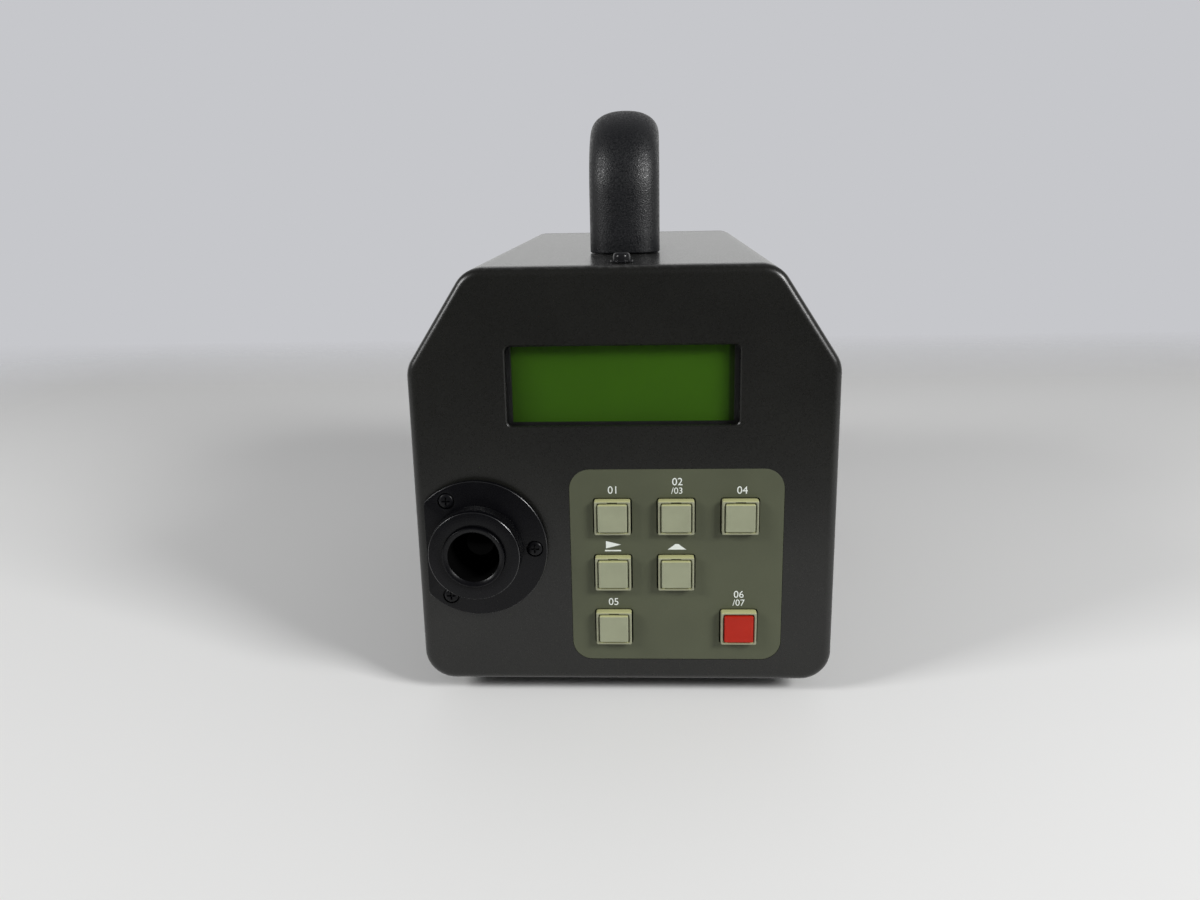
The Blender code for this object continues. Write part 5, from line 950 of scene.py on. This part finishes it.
flange_radii = (flange_bore, flange_neck, flange_radius, flange_tube_radius)
flange_places = (flange_neck_front, flange_front, flange_back, flange_tube_end)
flange_profile = eased(stepped(flange_radii, flange_places), turned_edge)
flange = turned(
    "eyepiece_flange_turning", flange_profile, eyepiece_origin, "+Y", anodised, 192, flat=flange_flat
)
sunk_screw_black = varied_finish(
    "dull_blackened_screw", (0.003, 0.003, 0.004), (0.005, 0.005, 0.006), (0.26, 0.40), 0.002,
    Specular_IOR_Level=0.2,
)
sink_profile = [(0, flange_front - punch_lead), (sink_radius, flange_front - punch_lead)]
sink_profile += [(sink_radius, sink_floor), (flange_hole_radius, sink_floor)]
sink_profile += [(flange_hole_radius, punch_lead), (0, punch_lead)]
sinks = []
for flange_screw_node in flange_screw_nodes:
    screw_low, screw_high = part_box(flange_screw_node)
    screw_x, _, screw_z = centre_of(flange_screw_node)
    screw_radius = (screw_high.x - screw_low.x) / 2
    screw_seat = (screw_x, face_y + sink_floor - fitting_gap, screw_z)
    sinks.append(turned("sink", sink_profile, (screw_x, face_y, screw_z), "+Y", None, 48, ends="open"))
    screw = pan_screw(
        f"{flange_screw_node}_head", screw_seat, "-Y", screw_radius, sink_screw_height, sunk_screw_black
    )
    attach(screw, "chassis")
    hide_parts(flange_screw_node)
carved(flange, *sinks)
edges_rubbed(flange)
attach(flange, "chassis")
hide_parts("eyepiece_flange")

ring_radius = 0.0165
ring_back = flange_front - fitting_gap
grip_front = ring_back - 0.0050
ring_front = grip_front - 0.0025
ring_collar_radius = 0.01625
ring_bore = 0.01115
ring_counterbore = flange_neck + fitting_gap
ring_shelf = flange_neck_front - fitting_gap
ring_edges = np.array((0.0003, turned_edge, 0.00005, 0.0002, 0.0002, 0.0002))
knurl_depth = 0.00028
knurl_count = 132
knurl_rows = 42
knurl_steps = knurl_count * 6
knurl_flat = 1.6
grip_edge = 0.0005


def groove_distance(turns):
    """How far a place is from the nearest whole number, from 0 on one to 1 half-way between two."""
    return 1 - np.abs(2 * (turns % 1.0) - 1)


def diamond_knurl(along, steps, count, depth):
    """Diamond pyramids: the lower of the two distances from a left-hand and a right-hand groove."""
    around = np.linspace(0, count, steps, endpoint=False)[None, :]
    rows = along[:, None] * count / (2 * np.pi * ring_radius)
    height = np.minimum(groove_distance(around + rows), groove_distance(around - rows))
    return depth * (np.minimum(height * knurl_flat, 1.0) - 1)


grip = np.linspace(ring_back - grip_edge, grip_front + grip_edge, knurl_rows)
ring_corners = [(ring_collar_radius, grip_front), (ring_collar_radius, ring_front)]
ring_corners += [(ring_bore, ring_front), (ring_bore, ring_shelf)]
ring_corners += [(ring_counterbore, ring_shelf), (ring_counterbore, ring_back)]
ring_profile = np.concatenate(
    (
        [(ring_radius - grip_edge, ring_back)],
        np.stack((np.full(knurl_rows, ring_radius), grip), 1),
        [(ring_radius - grip_edge, grip_front)],
        eased(ring_corners, ring_edges[:, None])[2:],
    )
)
ring_ripple = np.zeros((len(ring_profile), knurl_steps))
ring_ripple[1 : knurl_rows + 1] = diamond_knurl(grip, knurl_steps, knurl_count, knurl_depth)
ring = turned(
    "dioptre_ring_turning", ring_profile, eyepiece_origin, "+Y", anodised, knurl_steps,
    ripple=ring_ripple,
)
edges_rubbed(ring, face_y + grip_front)
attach(ring, "dioptre_ring")
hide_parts("dioptre_ring")

matt_black = varied_finish(
    "matt_black_coating", (0.0004, 0.0004, 0.0004), (0.0008, 0.0008, 0.0008), (0.85, 0.95), 0.004,
    relief=0.00001, Specular_IOR_Level=0.05,
)
barrel_front, barrel_back = span("eyepiece_barrel", face_y)
barrel_radius = 0.0110
barrel_bore = 0.0092
barrel_waist = 0.0080
barrel_edge = 0.0003
barrel_mouth = 0.0011
baffle_depth = 0.0003
baffle_count = 14
lip_height = 0.0001
lip_depth = 0.0008
lip_share = 0.8
baffle_start = barrel_front + 0.0012
lens_front = barrel_front + 0.0105
lens_back = lens_front + 0.0042
lens_spacer = 0.0025
eye_lens_bulge = 0.0016
waist_front = lens_back + fitting_gap
waist_back = waist_front + lens_spacer
baffles = thread(barrel_bore, baffle_depth, baffle_start, lens_front - fitting_gap, baffle_count)
barrel_corners = [(barrel_bore + barrel_mouth, barrel_front), (barrel_radius, barrel_front)]
barrel_corners += [(barrel_radius, barrel_back), (barrel_bore, barrel_back)]
barrel_profile = np.concatenate(
    (
        eased(barrel_corners, barrel_edge)[2:],
        [(barrel_bore, waist_back), (barrel_waist, waist_back)],
        [(barrel_waist, waist_front), (barrel_bore, waist_front), (barrel_bore, lens_front)],
        baffles[::-1],
        [(barrel_bore, barrel_front + lip_depth)],
        [(barrel_bore + barrel_mouth * lip_share, barrel_front + lip_height)],
    )
)
barrel = turned("eyepiece_barrel_turning", barrel_profile, eyepiece_origin, "+Y", anodised, 128)
barrel_middles = read(barrel.data.polygons, "center") - eyepiece_origin
barrel_reach = np.hypot(barrel_middles[:, 0], barrel_middles[:, 2])
recoated(barrel, matt_black, barrel_reach < barrel_bore + baffle_depth + lip_height)
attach(barrel, "eyepiece_barrel")
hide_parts("eyepiece_barrel")


def lens_profile(radius, tip, sag, back, rings=14):
    """A flat-backed lens: at a share q of the radius, its face lies sag times q squared behind the tip."""
    q = np.linspace(0, 1, rings)
    face = np.stack((radius * q, tip + sag * q**2), 1)
    return np.concatenate((face, [(radius, back), (0, back)]))


eye_glass = varied_finish(
    "eye_lens_glass", (0.0006, 0.0006, 0.0006), (0.0010, 0.0010, 0.0010), (0.02, 0.04),
    grain=0.002, relief=0.0, Specular_IOR_Level=0.03,
)
eye_lens_profile = lens_profile(barrel_bore - fitting_gap, lens_front, eye_lens_bulge, lens_back)
eye_lens = turned("eye_lens", eye_lens_profile, eyepiece_origin, "+Y", eye_glass, 96, ends="open")
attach(eye_lens, "eyepiece_barrel")
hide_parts("eyepiece_lens")

# Objective. On the far side, a black anodised lens mount, a focusing ring with straight flutes and
# the lens head with its hood, its filter thread and the coated front lens under a slotted ring.
objective_origin = (0, rear_face_y, mount_z)
mount_tail, mount_tube_end = span("lens_mount", rear_face_y)
mount_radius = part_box("lens_mount")[1].x
mount_face = 0.0043
mount_tube = 0.0297
mount_bore = 0.0262
objective_edge = 0.0006
mount_radii = (mount_bore, mount_tube, mount_radius, mount_tube)
mount_places = (mount_tail, fitting_gap, mount_face, mount_tube_end)
mount_profile = eased(stepped(mount_radii, mount_places), objective_edge)
mount = turned("lens_mount_turning", mount_profile, objective_origin, "+Y", anodised, 144)
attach(mount, "chassis")
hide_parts("lens_mount")

focus_start, focus_end = span("focus_ring", rear_face_y)
focus_radius = 0.0345
focus_land = focus_radius - 0.0009
focus_bore = 0.0300
flute_count = 56
flute_depth = 0.0008
flute_rows = 9
flute_steps = flute_count * 10
flute_end = 0.0008
flute_steepness = 1.4
flute_shift = 0.5
band_share = 0.275
band_half = (focus_end - focus_start) * band_share
focus_middle = (focus_start + focus_end) / 2
band_start = focus_middle - band_half
band_end = focus_middle + band_half
flute_turn = np.linspace(0, 2 * np.pi * flute_count, flute_steps, endpoint=False)[None, :]
flute_wave = np.clip(flute_steepness * np.cos(flute_turn) + flute_shift, -1, 1)
flute = flute_depth * (flute_wave - 1) / 2
band = np.linspace(band_start + flute_end, band_end - flute_end, flute_rows)
focus_rear = [(focus_bore, focus_end), (focus_bore, focus_start)]
focus_rear += [(focus_land, focus_start), (focus_land, band_start)]
focus_rear = eased(focus_rear, objective_edge)[4:-2]
focus_front = [(focus_land, band_end), (focus_land, focus_end)]
focus_front += [(focus_bore, focus_end), (focus_bore, focus_start)]
focus_front = eased(focus_front, objective_edge)[2:-4]
focus_profile = np.concatenate((focus_rear, np.stack((0 * band + focus_radius, band), 1), focus_front))
focus_ripple = np.zeros((len(focus_profile), flute_steps))
focus_ripple[len(focus_rear) : len(focus_rear) + flute_rows] = flute
focus = turned(
    "focus_ring_turning", focus_profile, objective_origin, "+Y", anodised, flute_steps,
    ripple=focus_ripple,
)
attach(focus, "focus_ring")
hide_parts("focus_ring")

scale_height = 0.0024
scale_sign_height = 0.0014
scale_start = (focus_start + band_start - scale_height) / 2
scale_places = (("10", 17), ("5", 31), ("3", 50), ("2", 75))
scale_places += (("1.5", 102), ("1.2", 130), ("1", 158), ("0.8", 190))
scale_entries = [("\u221e", 0, scale_start + (scale_height - scale_sign_height) / 2, scale_sign_height)]
scale_entries += [
    (words, -math.radians(degrees) * focus_land, scale_start, scale_height)
    for words, degrees in scale_places
]


def on_ring(radius, across, up, depth):
    """Wraps points round the objective: across is an arc's length from the top, up runs along the axis."""
    angle = across / radius
    reach = radius - depth
    return laid(reach * np.sin(angle), reach * np.cos(angle), up, objective_origin, "+Y")


scale = printed_numerals(
    "distance_scale", scale_entries, white_ink, lambda *place: on_ring(focus_land, *place)
)
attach(scale, "focus_ring")
index_across = np.array((-0.0003, 0.0003, 0.0003, -0.0003))
index_up = np.array((0.0012, 0.0012, 0.0035, 0.0035))
index_rings = [on_ring(mount_radius, index_across, index_up, depth) for depth in print_depths]
index_line = skinned("focus_index", index_rings, white_ink)
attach(index_line, "chassis")

head_tail, head_front = span("objective_barrel", rear_face_y)
head_back = focus_end + fitting_gap
head_radius = 0.0325
head_tube = 0.0259
head_tube_bore = 0.0234
head_mouth = 0.0295
hood_taper = 0.0012
lens_radius = 0.0210
lens_shelf = 0.0012
glass_back, glass_tip = span("objective_lens", rear_face_y)
glass_bulge = 0.0035
filter_turns = 7
filter_pitch = 0.00075
filter_start = head_front - 0.0010
filter_depth = 0.0003
filter_root = head_mouth - 0.0002
filter_end = filter_start - filter_turns * filter_pitch
hood_shelf = filter_end - 0.0004
head_radii = (head_tube_bore, head_tube, head_radius, head_mouth)
head_places = (head_tail, head_back, head_front, hood_shelf)
lens_seat_radius = lens_radius + fitting_gap
lens_stop_radius = lens_radius - lens_shelf
lens_stop_end = head_back + 0.001
head_profile = np.concatenate(
    (
        eased(stepped(head_radii, head_places), objective_edge)[:-8],
        thread(filter_root, filter_depth, filter_start, filter_end, filter_turns),
        [(head_mouth - hood_taper, hood_shelf), (lens_seat_radius, glass_tip)],
        [(lens_seat_radius, glass_back - fitting_gap), (lens_stop_radius, glass_back - fitting_gap)],
        [(lens_stop_radius, lens_stop_end)],
    )
)
head = turned("lens_head_turning", head_profile, objective_origin, "+Y", anodised, 160)
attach(head, "lens_head")
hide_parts("objective_barrel")

coated_glass = varied_finish(
    "coated_lens_glass", (0.010, 0.006, 0.020), (0.014, 0.008, 0.028), (0.015, 0.03), 0.02, 0.004,
    relief=0.0000005, Coat_Weight=0.6, Coat_Tint=(0.55, 0.35, 0.95, 1.0), Coat_Roughness=0.02,
)
front_lens_profile = lens_profile(lens_radius, glass_tip, -glass_bulge, glass_back, 24)
front_lens = turned(
    "front_lens", front_lens_profile, objective_origin, "+Y", coated_glass, 128, ends="open"
)
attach(front_lens, "lens_head")
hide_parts("objective_lens")
retainer_inner = 0.0190
retainer_gap = 0.0001
retainer_thickness = 0.0012
retainer_outer = lens_radius + retainer_gap
retainer_rear = glass_tip - glass_bulge * (retainer_inner / lens_radius) ** 2 + retainer_gap
retainer_front = retainer_rear + retainer_thickness
retainer_slot_depth = 0.0007
retainer_slot_half = 0.0006
retainer_slot_corner = 0.0001
retainer_profile = [(retainer_inner, retainer_rear), (retainer_inner, retainer_front)]
retainer_profile += [(retainer_outer, retainer_front), (retainer_outer, retainer_rear)]
retainer_profile = eased(retainer_profile, fine_break)
retainer = turned("lens_retainer", retainer_profile, objective_origin, "+Y", anodised, 96)
slot_reach = retainer_outer + punch_past
slot_edges = (-slot_reach, slot_reach, -retainer_slot_half, retainer_slot_half)
slot = box_outline(slot_edges, retainer_slot_corner, 1)
slot_ends = (retainer_front - retainer_slot_depth, retainer_front + punch_past)
carved(retainer, punch(slot, *slot_ends, objective_origin, "+Y"))
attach(retainer, "lens_head")

# Cover. One sheet of steel folded over the sides, shoulders and top, with its lower edges turned in,
# slid between the end panels and sprayed with the same paint. The right side has the opening for the
# connectors.
cover_sheet = 0.0015
cover_break = 0.0003
cover_punch_depth = 0.004
cover_foot = body_half_width - fold_radius - 0.002
cover_screw_radius = 0.0030
cover_screw_height = 0.0027
cover_washer = (0.0039, 0.0007)
bay_low, bay_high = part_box("connector_bay")
bay_flange = 0.004
bay_corner = 0.003
bay_edges = (bay_low.y + bay_flange, bay_high.y - bay_flange)
bay_edges += (bay_low.z + bay_flange, bay_high.z - bay_flange)
bay_outline = box_outline(bay_edges, bay_corner, 10)
cover_paint = varied_finish(
    "charcoal_cover_paint", (0.0080, 0.0080, 0.0071), (0.0105, 0.0105, 0.0094), (0.20, 0.28), 0.03,
    grain=0.0006, relief=0.000004, IOR=1.8,
)
screw_black = varied_finish(
    "blackened_screw", (0.008, 0.008, 0.009), (0.014, 0.014, 0.015), (0.14, 0.22), 0.002,
    relief=0.000003, Specular_IOR_Level=0.2,
)


def cover_line(inset):
    """The sheet's section at an inset from the outside, open at the bottom, from right to left."""
    outline = np.roll(body_outline(-inset), -fold_steps - 1, axis=0)
    return np.concatenate(([(cover_foot, inset)], outline, [(-cover_foot, inset)]))


cover_start, cover_end = span("cover", face_y)
cover_loop = [(0, cover_start + cover_break), (0, cover_end - cover_break), (cover_break, cover_end)]
cover_loop += [(cover_sheet - cover_break, cover_end), (cover_sheet, cover_end - cover_break)]
cover_loop += [(cover_sheet, cover_start + cover_break), (cover_sheet - cover_break, cover_start)]
cover_loop += [(cover_break, cover_start)]
cover_rings = np.stack([on_panel(*cover_line(inset).T, depth) for inset, depth in cover_loop], axis=1)
cover = skinned("folded_cover", cover_rings, cover_paint)
bay_punch = [(-cover_punch_depth, 0), (-cover_break, 0), (punch_lead, cover_break + punch_lead)]
carved(cover, lofted("bay_punch", bay_outline, bay_punch, (body_half_width, 0, 0), "+X"))
evened(cover)
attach(cover, "chassis")
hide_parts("cover")
for end in ("front", "rear"):
    screw_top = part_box(f"cover_screw_{end}")[1].z
    screw_y = centre_of(f"cover_screw_{end}")[1]
    seat = (0, screw_y, screw_top - cover_screw_height - cover_washer[1])
    cover_screw = pan_screw(
        f"cover_screw_{end}_head", seat, "+Z", cover_screw_radius, cover_screw_height, screw_black,
        cover_washer,
    )
    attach(cover_screw, "chassis")
    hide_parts(f"cover_screw_{end}")

# Handle. A black moulded bow with a squared oval section and a fine leather-like grain, clamped
# through the cover by two studs of a strap underneath.
grip_low, grip_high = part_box("handle")
grip_half_width = grip_high.x
grip_thickness = 0.0195
grip_bend = 0.031 - grip_thickness / 2
grip_squareness = 2.35
grip_foot_round = 0.0005
grip_grain = 0.0005
grip_grain_depth = 0.00008
grip_across_steps = 96
bend_steps = 28
handle_plastic = varied_finish(
    "grained_handle_plastic", (0.0060, 0.0064, 0.0075), (0.0082, 0.0087, 0.0100), (0.27, 0.60), 0.02,
    grain=0.0007, relief=0.0, Specular_IOR_Level=0.42,
)
grip_place = add(handle_plastic, "TexCoord").outputs["Object"]
grip_cells = add(handle_plastic, "TexVoronoi", {"Vector": grip_place, "Scale": 1 / grip_grain})
grip_relief = {"Height": grip_cells.outputs["Distance"], "Distance": grip_grain_depth}
feed(handle_plastic, "Normal", add(handle_plastic, "Bump", grip_relief).outputs["Normal"])


def bow_line():
    """The bow's centre line as depth, height and direction.

    It runs straight up, through a quarter turn about a centre one bend radius inwards, level, and
    down again, the direction turning evenly from straight up to straight down.
    """
    front_y = grip_low.y + grip_thickness / 2
    rear_y = grip_high.y - grip_thickness / 2
    level_z = grip_high.z - grip_thickness / 2
    turn = np.linspace(0, np.pi / 2, bend_steps + 1)
    sweep = grip_bend * (1 - np.sin(turn))
    rise = level_z - grip_bend - grip_low.z
    climb = grip_low.z + np.array((0, grip_foot_round / 2, grip_foot_round, 0.3 * rise, 0.6 * rise))
    leg = np.ones(len(climb))
    bend_y = front_y + grip_bend * (1 - np.cos(turn))
    y = np.concatenate((front_y * leg, bend_y, rear_y - sweep, rear_y * leg))
    z = np.concatenate((climb, level_z - sweep))
    z = np.concatenate((z, z[::-1]))
    way = np.concatenate((np.pi / 2 * leg, np.pi / 2 - turn, -turn, -np.pi / 2 * leg))
    return y[:, None], z[:, None], way[:, None]


def squared(part):
    """A cosine or sine, raised to 2 over the squareness with its sign kept."""
    return np.sign(part) * np.abs(part) ** (2 / grip_squareness)


bow_y, bow_z, bow_way = bow_line()
grip_angle = np.linspace(0, 2 * np.pi, grip_across_steps, endpoint=False)[None, :]
grip_across = squared(np.cos(grip_angle)) * grip_half_width
grip_out = squared(np.sin(grip_angle)) * grip_thickness / 2
foot_shrink = np.ones_like(bow_y)
foot_shrink[[0, -1]] = 1 - grip_foot_round / grip_half_width
foot_shrink[[1, -2]] = 1 - 0.25 * grip_foot_round / grip_half_width
grip_rings = np.stack(
    (
        grip_across * foot_shrink,
        bow_y - np.sin(bow_way) * grip_out * foot_shrink,
        bow_z + np.cos(bow_way) * grip_out * foot_shrink,
    ),
    -1,
)
handle = skinned("handle_bow", grip_rings, handle_plastic)
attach(handle, "chassis")
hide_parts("handle")

# Connector bay. A pressed and painted steel pan behind the opening in the cover. Its floor carries
# the serial connector, the supply inlet and the power switch.
bay_sheet = 0.0015
bay_front = bay_high.x
bay_floor = body_half_width - 0.0085
bay_round = 0.0008
bay_stations = [(bay_floor - bay_sheet, bay_sheet), (bay_front - bay_sheet, bay_sheet)]
bay_stations += [(bay_front - bay_sheet, bay_flange), (bay_front, bay_flange), (bay_front, bay_round)]
bay_stations += [(bay_front - bay_round * 0.3, fine_break), (bay_front - bay_round, 0)]
bay_stations += [(bay_floor + bay_round, 0), (bay_floor + bay_round * 0.3, -bay_round * 0.3)]
bay_stations += [(bay_floor, -bay_round)]
bay_z = centre_of("connector_bay")[2]
serial_y = centre_of("serial_connector")[1]
jack_y = centre_of("power_jack")[1]
switch_y = centre_of("switch_frame")[1]
serial_half_opening = (0.0087, 0.0045)
switch_half_opening = (0.0055, 0.0095)
jack_hole_radius = 0.0058


def bay_opening(y, half_opening, corner):
    """A rectangular opening in the bay's floor about a y, with rounded corners."""
    half_length, half_height = half_opening
    edges = (y - half_length, y + half_length, bay_z - half_height, bay_z + half_height)
    return box_outline(edges, corner, 2)


bay = lofted("connector_pan", bay_outline, bay_stations, (0, 0, 0), "+X", panel_paint)
bay_openings = [bay_opening(serial_y, serial_half_opening, 0.0008)]
bay_openings += [bay_opening(switch_y, switch_half_opening, 0.0005)]
bay_openings += [disc_outline((jack_y, bay_z), jack_hole_radius, 40)]
bay_punch_ends = (bay_floor - bay_sheet - punch_past, bay_floor + punch_past)
carved(bay, *[punch(opening, *bay_punch_ends, (0, 0, 0), "+X") for opening in bay_openings])
evened(bay)
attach(bay, "chassis")
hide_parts("connector_bay")

# Serial connector. A plated steel flange with a D-shaped shell, a black insert with nine contact
# holes, and two hexagonal jack posts.
serial_seat = bay_floor + fitting_gap
serial_tail = serial_seat - 0.006
serial_flange_face = serial_seat + 0.001
serial_flange_edges = (-0.0154, 0.0154, -0.00625, 0.00625)
serial_flange_corner = 0.0015
shell_length = 0.0169
shell_height = 0.0083
shell_slant = 0.09
shell_corner = 0.002
shell_wall = 0.0006
shell_tip = serial_seat + 0.0065
insert_top = shell_tip - 0.001
insert_inset = -shell_wall - 0.00005
contact_pitch = 0.00277
contact_row_gap = 0.00284
contact_radius = 0.0005
contact_depth = 0.003
contact_mouth = 0.0006
post_spacing = 0.025
post_radius = 0.0027
post_foot = serial_seat + 0.0009
post_tip = serial_seat + 0.005
post_bore_radius = 0.0012
post_chamfer = (0.0004, 0.0003)
serial_origin = (0, serial_y, bay_z)


def d_outline(growth):
    """A D-shaped outline with rounded corners, its upper side the longer one."""
    half, rise = shell_length / 2, shell_height / 2
    slant = shell_length * shell_slant
    low = half - slant + growth
    corners = [(-low, -rise - growth), (low, -rise - growth)]
    corners += [(half + growth, rise + growth), (-half - growth, rise + growth)]
    return rounded_outline(corners, shell_corner + growth, 5)


black_insert = varied_finish(
    "black_insert_plastic", (0.010, 0.010, 0.010), (0.015, 0.015, 0.015), (0.35, 0.5), 0.004
)
plate_outline = box_outline(serial_flange_edges, serial_flange_corner)
plate_stations = [(serial_seat, 0), (serial_flange_face - fine_break, 0)]
plate_stations += [(serial_flange_face, -fine_break)]
serial_plate = lofted(
    "serial_flange", plate_outline, plate_stations, serial_origin, "+X", plated_steel
)
shell_stations = [(serial_tail, 0), (shell_tip - fine_break, 0), (shell_tip, -fine_break)]
shell_stations += [(shell_tip, fine_break - shell_wall), (shell_tip - fine_break, -shell_wall)]
shell_stations += [(serial_tail, -shell_wall)]
shell_rings = ringed(d_outline, shell_stations, serial_origin, "+X")
serial_shell = skinned("serial_shell", shell_rings, plated_steel, ends="joined")
insert_stations = [(serial_tail, insert_inset), (insert_top, insert_inset)]
serial_insert = lofted(
    "serial_insert", d_outline, insert_stations, serial_origin, "+X", black_insert
)
contact_places = [((i - 2) * contact_pitch, contact_row_gap / 2) for i in range(5)]
contact_places += [((i - 1.5) * contact_pitch, -contact_row_gap / 2) for i in range(4)]
contact_stations = [(insert_top - contact_depth, 0), (insert_top - fine_break, 0)]
contact_stations += [(insert_top + punch_lead, contact_mouth)]
contacts = [disc_outline(place, contact_radius, 16) for place in contact_places]
carved(
    serial_insert,
    *[lofted("contact", contact, contact_stations, serial_origin, "+X") for contact in contacts],
)
serial_pieces = [serial_plate, serial_shell, serial_insert]
post_bore = disc_outline((0, 0), post_bore_radius, 24)
post_profile = [(0, post_foot), (post_radius, post_foot), (post_radius, post_tip - post_chamfer[1])]
post_profile += [(post_radius - post_chamfer[0], post_tip), (0, post_tip)]
for post_name, side in (("serial_post_front", -1), ("serial_post_rear", 1)):
    post_origin = (0, serial_y + side * post_spacing / 2, bay_z)
    post = turned(post_name, post_profile, post_origin, "+X", plated_steel, 6, ends="open")
    carved(post, punch(post_bore, post_tip - contact_depth, post_tip + punch_past, post_origin, "+X"))
    serial_pieces.append(post)
for piece in serial_pieces:
    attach(piece, "chassis")
    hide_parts("serial_connector")

# Supply inlet and power switch. A black moulded coaxial socket with a plated centre pin, and a black
# rocker in a snap-in frame, at rest in its off position and marked with a bar and a ring.
jack_profile = [(0.0055, -0.010), (0.0055, 0), (0.0068, 0), (0.0068, 0.0015), (0.0031, 0.0015)]
jack_profile += [(0.0031, -0.0065), (0.0001, -0.0065), (0.0001, -0.010)]
pin_profile = [(0, -0.007), (0.0010, -0.007), (0.0010, 0), (0, 0)]
pin_profile = eased(pin_profile, 0.0004, closed=False)
jack_origin = (serial_seat, jack_y, bay_z)
jack = turned("supply_socket", eased(jack_profile, 0.0003), jack_origin, "+X", black_insert, 64)
jack_pin = turned("supply_pin", pin_profile, jack_origin, "+X", plated_steel, 32, ends="open")
for piece, slot_name in ((jack, "black_plastic"), (jack_pin, "plated_steel")):
    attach(piece, "chassis")
    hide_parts("power_jack")

switch_half_length = 0.0065
switch_half_height = 0.0105
switch_frame_wall = 0.0026
switch_frame_corner = 0.0014
switch_well_corner = 0.0003
switch_origin = (serial_seat, switch_y, bay_z)
frame_edges = np.array((-switch_half_length, switch_half_length, -switch_half_height, switch_half_height))
well_edges = frame_edges + switch_frame_wall * inwards
frame_outline = box_outline(frame_edges, switch_frame_corner)
well_outline = box_outline(well_edges, switch_well_corner)
frame_outer = [(-0.011, -0.0013), (0, -0.0013), (0, 0), (0.0014, 0), (0.0018, -0.0004)]
frame_inner = [(0.0018, 0.0004), (0.0014, 0), (-0.011, 0)]
frame_rings = ringed(frame_outline, frame_outer, switch_origin, "+X")
well_rings = ringed(well_outline, frame_inner, switch_origin, "+X")
switch_rings = np.concatenate((frame_rings, well_rings))
switch_frame = skinned("switch_bezel", switch_rings, black_insert, ends="joined")
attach(switch_frame, "chassis")
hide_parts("switch_frame")

rocker_low, rocker_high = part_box("power_rocker")
rocker_pivot_depth = 0.0022
rocker_tilt = math.radians(9)
rocker_valley = 0.0042
rocker_rise = 0.0011
rocker_root = 0.003
rocker_corner = 0.0005
rocker_reach = well_edges[3] - fitting_gap
rocker_edge = rocker_valley + rocker_rise
tilt_cos = math.cos(rocker_tilt)
tilt_sin = math.sin(rocker_tilt)
rocker_half = (rocker_reach - rocker_edge * tilt_sin) / tilt_cos
rocker_centre = (serial_seat - rocker_pivot_depth, switch_y, bay_z)
tilt = np.array(((tilt_cos, tilt_sin), (-tilt_sin, tilt_cos)))
rocker_corners = [(-rocker_root, -rocker_half / 2), (0, -rocker_half), (rocker_edge, -rocker_half)]
rocker_corners += [(rocker_valley, 0), (rocker_edge, rocker_half), (0, rocker_half)]
rocker_corners += [(-rocker_root, rocker_half / 2)]
rocker_side = eased(rocker_corners, rocker_corner) @ tilt
rocker_half_length = (rocker_high.y - rocker_low.y) / 2
rocker_end_share = 0.97
rocker_stations = [(-rocker_half_length, rocker_end_share), (fine_break - rocker_half_length, 1.0)]
rocker_stations += [(rocker_half_length - fine_break, 1.0), (rocker_half_length, rocker_end_share)]
rocker_rings = [
    laid(*(rocker_side * scale).T, along, rocker_centre, "+Y") for along, scale in rocker_stations
]
rocker = skinned("switch_rocker", rocker_rings, black_insert)
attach(rocker, "power_rocker")
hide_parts("power_rocker")

mark_proud = 0.00004
mark_reach = 0.0010
mark_place = 0.55
ring_hole = 0.0007
bar_half = 0.00018
mark_turn = np.linspace(0, 2 * np.pi, 40, endpoint=False)
mark_circle = np.array((np.cos(mark_turn), np.sin(mark_turn)))
mark_bar = np.array((bar_half, mark_reach))[:, None] * ((-1, 1, 1, -1), (-1, -1, 1, 1))
ring_sides = ((mark_reach, 1), (mark_reach, -1), (ring_hole, -1), (ring_hole, 1))
ring_loops = [(mark_circle * radius, side) for radius, side in ring_sides]
bar_loops = [(mark_bar, 1), (mark_bar, -1)]
for mark_name, end, loops, ends in (
    ("switch_off_ring", 1, ring_loops, "joined"),
    ("switch_on_bar", -1, bar_loops, "capped"),
):
    middle = rocker_half * mark_place * end
    face = rocker_valley + rocker_rise * mark_place
    slope = np.array((end * rocker_rise, rocker_half))
    slope /= np.linalg.norm(slope)
    rings = []
    for (across, up), side in loops:
        lift = face + mark_proud * side + up * slope[0] / slope[1]
        line = np.stack((lift, middle + up), 1) @ tilt
        rings.append(laid(line[:, 0], line[:, 1], across, rocker_centre, "+Y"))
    mark = skinned(mark_name, rings, white_ink, ends=ends)
    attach(mark, "power_rocker")
